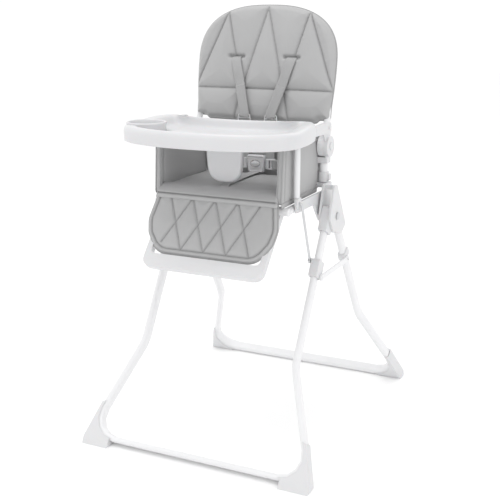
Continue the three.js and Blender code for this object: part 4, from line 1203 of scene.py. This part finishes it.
class HIGHCHAIR_OT_tray(bpy.types.Operator):
    """Mould the tray with its rolled rim, basin and cup ring, and the crotch guard under it"""

    bl_idname = "high_chair.tray"
    bl_label = "Tray"

    def execute(self, context):
        base, rim = TRAY[0].z, TRAY[1].z
        floor = base + 0.019
        # Each ring's inset at the front and back, its inset at the sides, and its height: up the
        # underside, round the rolled foot of the rim, over its top and down into the basin.
        levels = [
            (0.042, 0.060, floor - 0.003),
            (0.022, 0.041, floor - 0.003),
            (0.014, 0.033, floor + 0.001),
            (0.0125, 0.031, rim - 0.008),
            (0.0105, 0.027, rim - 0.0032),
            (0.009, 0.011, rim - 0.003),
            (0.0042, 0.0042, rim - 0.008),
            (0.0036, 0.0036, base + 0.004),
            (0.0032, 0.0032, base + 0.001),
            (0.0022, 0.0022, base + 0.0002),
            (0.0011, 0.0011, base + 0.0006),
            (0.0006, 0.0006, base + 0.003),
            (0.0002, 0.0002, base + 0.012),
            (0.0, 0.0, rim - 0.013),
            (0.0006, 0.0006, rim - 0.0085),
            (0.0022, 0.0024, rim - 0.0045),
            (0.0046, 0.0056, rim - 0.0015),
            (0.0072, 0.0105, rim - 0.0001),
            (0.0095, 0.0185, rim + 0.0003),
            (0.012, 0.0265, rim - 0.0008),
            (0.014, 0.0315, rim - 0.0035),
            (0.0155, 0.0345, rim - 0.0075),
            (0.0172, 0.0364, floor + 0.0052),
            (0.0196, 0.0388, floor + 0.0022),
            (0.0235, 0.0428, floor + 0.0006),
            (0.030, 0.049, floor),
            (0.042, 0.060, floor),
        ]
        rings = [np.column_stack([tray_ring(a, b), np.full(RING_COUNT, z)]) for a, b, z in levels]
        for ring in rings:
            share = np.clip((ring[:, 1] + 0.25) / 0.11, 0, 1)
            upper = np.clip((ring[:, 2] - floor) / (rim - floor), 0, 1)
            ring[:, 2] += REAR_RISE * share**2 * (3 - 2 * share) * upper
        below, below_centre = filled(rings[0], BASIN_CENTRE)
        above, above_centre = filled(rings[-1], BASIN_CENTRE)
        points, faces = capped([*reversed(below), *rings, *above], below_centre, above_centre)
        shell = close_up(new_piece("tray_shell", points, faces, "tray_plastic", "tray_body"), 1e-7)
        bore = [(0, base - 0.02), (CUP_BORE, base - 0.02), (CUP_BORE, rim + 0.02), (0, rim + 0.02)]
        cut_by(shell, turned("cup_cutter", bore, CUP_CENTRE, "tray_plastic", None))
        shell.data.polygons.foreach_set("use_smooth", [True] * len(shell.data.polygons))
        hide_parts("tray")
        # The cup ring's radii and heights, from under its floor, up outside, over its lip and in.
        ring = [
            (0, base + 0.0012),
            (0.036, base + 0.0012),
            (0.042, base + 0.0024),
            (0.0452, base + 0.0065),
            (0.0456, rim - 0.004),
            (0.0462, rim - 0.0012),
            (0.0468, rim + 0.0012),
            (0.0458, rim + 0.0034),
            (0.0438, rim + 0.0042),
            (0.0418, rim + 0.0033),
            (0.0406, rim + 0.0008),
            (0.0398, rim - 0.006),
            (0.0388, base + 0.0125),
            (0.0368, base + 0.0085),
            (0.0325, base + 0.0062),
            (0.026, base + 0.0054),
            (0.018, base + 0.0062),
            (0.009, base + 0.0071),
            (0, base + 0.0073),
        ]
        turned("tray_cup_ring", ring, CUP_CENTRE, "tray_plastic", "tray_body", 96)
        self.guard()
        return {"FINISHED"}

    def guard(self):
        """A round-ended tongue with soft edges."""
        low, high = GUARD
        foot, chin = low.z - 0.0045, high.x - 0.017
        root = high.x + 0.004
        outline = flared(high.x - 0.005, foot, 0.042, root, high.z, 0.002, 10)
        middle = (low.y + high.y) / 2
        depth = (high.y - low.y) / 2
        tongue = Tongue(outline, plane((0, middle, 0), (1, 0, 0), (0, 0, 1)), depth, depth)
        corners = [(-chin, foot + 0.006), (chin, foot + 0.006), (root, high.z), (-root, high.z)]
        piece = tongue.build("guard_tongue", corners, 46, 50, "tray_body", "tray_plastic")
        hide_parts("crotch_guard")


# ---------------------------------------------------------------- the hard parts
CREASE_ANGLE = math.radians(38)
EDGES = {
    "painted_steel": 0.0007,
    "bright_steel": 0.0005,
    "white_plastic": 0.0016,
    "tray_plastic": 0.0015,
    "seat_board": 0.0015,
}


def sharp_edges():
    """A node group that keeps the creased edges sharp and shades the rest smooth."""
    group = bpy.data.node_groups.new("smooth_by_angle", "GeometryNodeTree")
    group.interface.new_socket("Geometry", in_out="INPUT", socket_type="NodeSocketGeometry")
    group.interface.new_socket("Geometry", in_out="OUTPUT", socket_type="NodeSocketGeometry")
    nodes, links = group.nodes, group.links
    start, end = nodes.new("NodeGroupInput"), nodes.new("NodeGroupOutput")
    angle = nodes.new("GeometryNodeInputMeshEdgeAngle")
    wide = nodes.new("FunctionNodeCompare")
    wide.data_type, wide.operation = "FLOAT", "GREATER_THAN"
    wide.inputs["B"].default_value = CREASE_ANGLE
    all_faces, edges = nodes.new("GeometryNodeSetShadeSmooth"), nodes.new("GeometryNodeSetShadeSmooth")
    edges.domain = "EDGE"
    edges.inputs["Shade Smooth"].default_value = False
    links.new(start.outputs[0], all_faces.inputs["Geometry"])
    links.new(all_faces.outputs[0], edges.inputs["Geometry"])
    links.new(angle.outputs["Unsigned Angle"], wide.inputs["A"])
    links.new(wide.outputs[0], edges.inputs["Selection"])
    links.new(edges.outputs[0], end.inputs[0])
    return group


class HIGHCHAIR_OT_hard_parts(bpy.types.Operator):
    """Finish the tubes, hubs, caps, braces and pins with soft edges and their paint or plastic"""

    bl_idname = "high_chair.hard_parts"
    bl_label = "Frame and mouldings"

    def execute(self, context):
        smooth = sharp_edges()
        slots = {row["node"]: row["material_slot"] for row in frame["record"]["subparts"]}
        for name, piece in frame["nodes"].items():
            slot = slots[name]
            piece.data.materials.clear()
            piece.data.materials.append(material(slot))
            if piece.hide_render:
                continue
            weld = piece.modifiers.new("weld", "WELD")
            weld.merge_threshold = 2e-5
            flat = piece.modifiers.new("flat", "DECIMATE")
            flat.decimate_type, flat.angle_limit = "DISSOLVE", math.radians(0.6)
            round_over = piece.modifiers.new("edges", "BEVEL")
            round_over.width = EDGES.get(slot, 0.001)
            round_over.segments = 3
            round_over.limit_method, round_over.angle_limit = "ANGLE", CREASE_ANGLE
            shade = piece.modifiers.new("shading", "NODES")
            shade.node_group = smooth
        return {"FINISHED"}


# ---------------------------------------------------------------- the stage
class HIGHCHAIR_OT_stage(bpy.types.Operator):
    """Set the pale floor, the soft studio light and the camera"""

    bl_idname = "high_chair.stage"
    bl_label = "Stage and camera"

    def execute(self, context):
        looks = context.scene.high_chair_looks
        self.camera(context)
        self.floor(looks)
        world = bpy.data.worlds.new("studio")
        context.scene.world = world
        world.use_nodes = True
        sky = world.node_tree.nodes["Background"]
        sky.inputs["Color"].default_value = (1.0, 1.0, 1.0, 1.0)
        sky.inputs["Strength"].default_value = looks.sky
        self.lamp("key", (-0.5, -0.7, 3.4), 1.5, looks.key)
        self.lamp("fill", (2.4, -1.2, 1.6), 2.0, looks.key * 0.2)
        self.lamp("rim", (0.6, 2.6, 2.8), 1.6, looks.key * 0.4)
        context.scene.view_settings.view_transform = "Standard"
        return {"FINISHED"}

    def camera(self, context):
        data = bpy.data.cameras.new("camera")
        data.lens, data.sensor_width = 64.37, 36.0
        data.clip_start, data.clip_end = 0.05, 60.0
        camera = bpy.data.objects.new("camera", data)
        context.scene.collection.objects.link(camera)
        azimuth, elevation, reach = math.radians(25), math.radians(15), 2.3
        target = Vector((-0.0182, 0.0026, 0.4287))
        level = math.cos(elevation)
        away = Vector((math.sin(azimuth) * level, -math.cos(azimuth) * level, math.sin(elevation)))
        camera.location = target + away * reach
        camera.rotation_euler = (-away).to_track_quat("-Z", "Y").to_euler()
        context.scene.camera = camera

    def floor(self, looks):
        mesh = bpy.data.meshes.new("floor")
        reach = 14.0
        corners = [(x, y, 0) for x, y in box_corners(-reach, -reach, reach, reach)]
        mesh.from_pydata(corners, [], [(0, 1, 2, 3)])
        floor = bpy.data.objects.new("floor", mesh)
        bpy.context.scene.collection.objects.link(floor)
        sweep = Shader("studio_floor")
        cloud = sweep.noise(1.5, 2.0)
        shade = sweep.blend(cloud, tinted(looks.floor, 0.985), tinted(looks.floor, 1.01))
        mesh.materials.append(sweep.finish(Base_Color=shade, Roughness=cloud * 0.1 + 0.6))

    def lamp(self, name, place, size, power):
        data = bpy.data.lights.new(name, "AREA")
        data.shape, data.size, data.energy = "SQUARE", size, power
        lamp = bpy.data.objects.new(name, data)
        lamp.location = place
        lamp.rotation_euler = (Vector((0, 0, 0.6)) - Vector(place)).to_track_quat("-Z", "Y").to_euler()
        bpy.context.scene.collection.objects.link(lamp)


# ---------------------------------------------------------------- panel and registration
STEPS = (
    HIGHCHAIR_OT_stage,
    HIGHCHAIR_OT_backrest,
    HIGHCHAIR_OT_seat,
    HIGHCHAIR_OT_wings,
    HIGHCHAIR_OT_lower_back,
    HIGHCHAIR_OT_calf_pad,
    HIGHCHAIR_OT_front_fold,
    HIGHCHAIR_OT_harness,
    HIGHCHAIR_OT_tray,
    HIGHCHAIR_OT_hard_parts,
)


class HIGHCHAIR_PT_sidebar(bpy.types.Panel):
    """Sizes, colours and steps of the high chair"""

    bl_idname = "HIGHCHAIR_PT_sidebar"
    bl_label = "High chair"
    bl_space_type = "VIEW_3D"
    bl_region_type = "UI"
    bl_category = "High chair"

    def draw(self, context):
        for group in (context.scene.high_chair_sizes, context.scene.high_chair_looks):
            box = self.layout.box()
            for key in group.bl_rna.properties.keys():
                if key not in ("rna_type", "name"):
                    box.prop(group, key)
        for step in STEPS:
            self.layout.operator(step.bl_idname)


CLASSES = (HighChairSizes, HighChairLooks, *STEPS, HIGHCHAIR_PT_sidebar)


def register():
    for item in CLASSES:
        bpy.utils.register_class(item)
    bpy.types.Scene.high_chair_sizes = bpy.props.PointerProperty(type=HighChairSizes)
    bpy.types.Scene.high_chair_looks = bpy.props.PointerProperty(type=HighChairLooks)


def unregister():
    del bpy.types.Scene.high_chair_looks
    del bpy.types.Scene.high_chair_sizes
    for item in reversed(CLASSES):
        bpy.utils.unregister_class(item)


def main():
    register()
    for step in STEPS:
        group, name = step.bl_idname.split(".")
        getattr(getattr(bpy.ops, group), name)()
    bpy.context.view_layer.update()


if __name__ == "__main__":
    main()
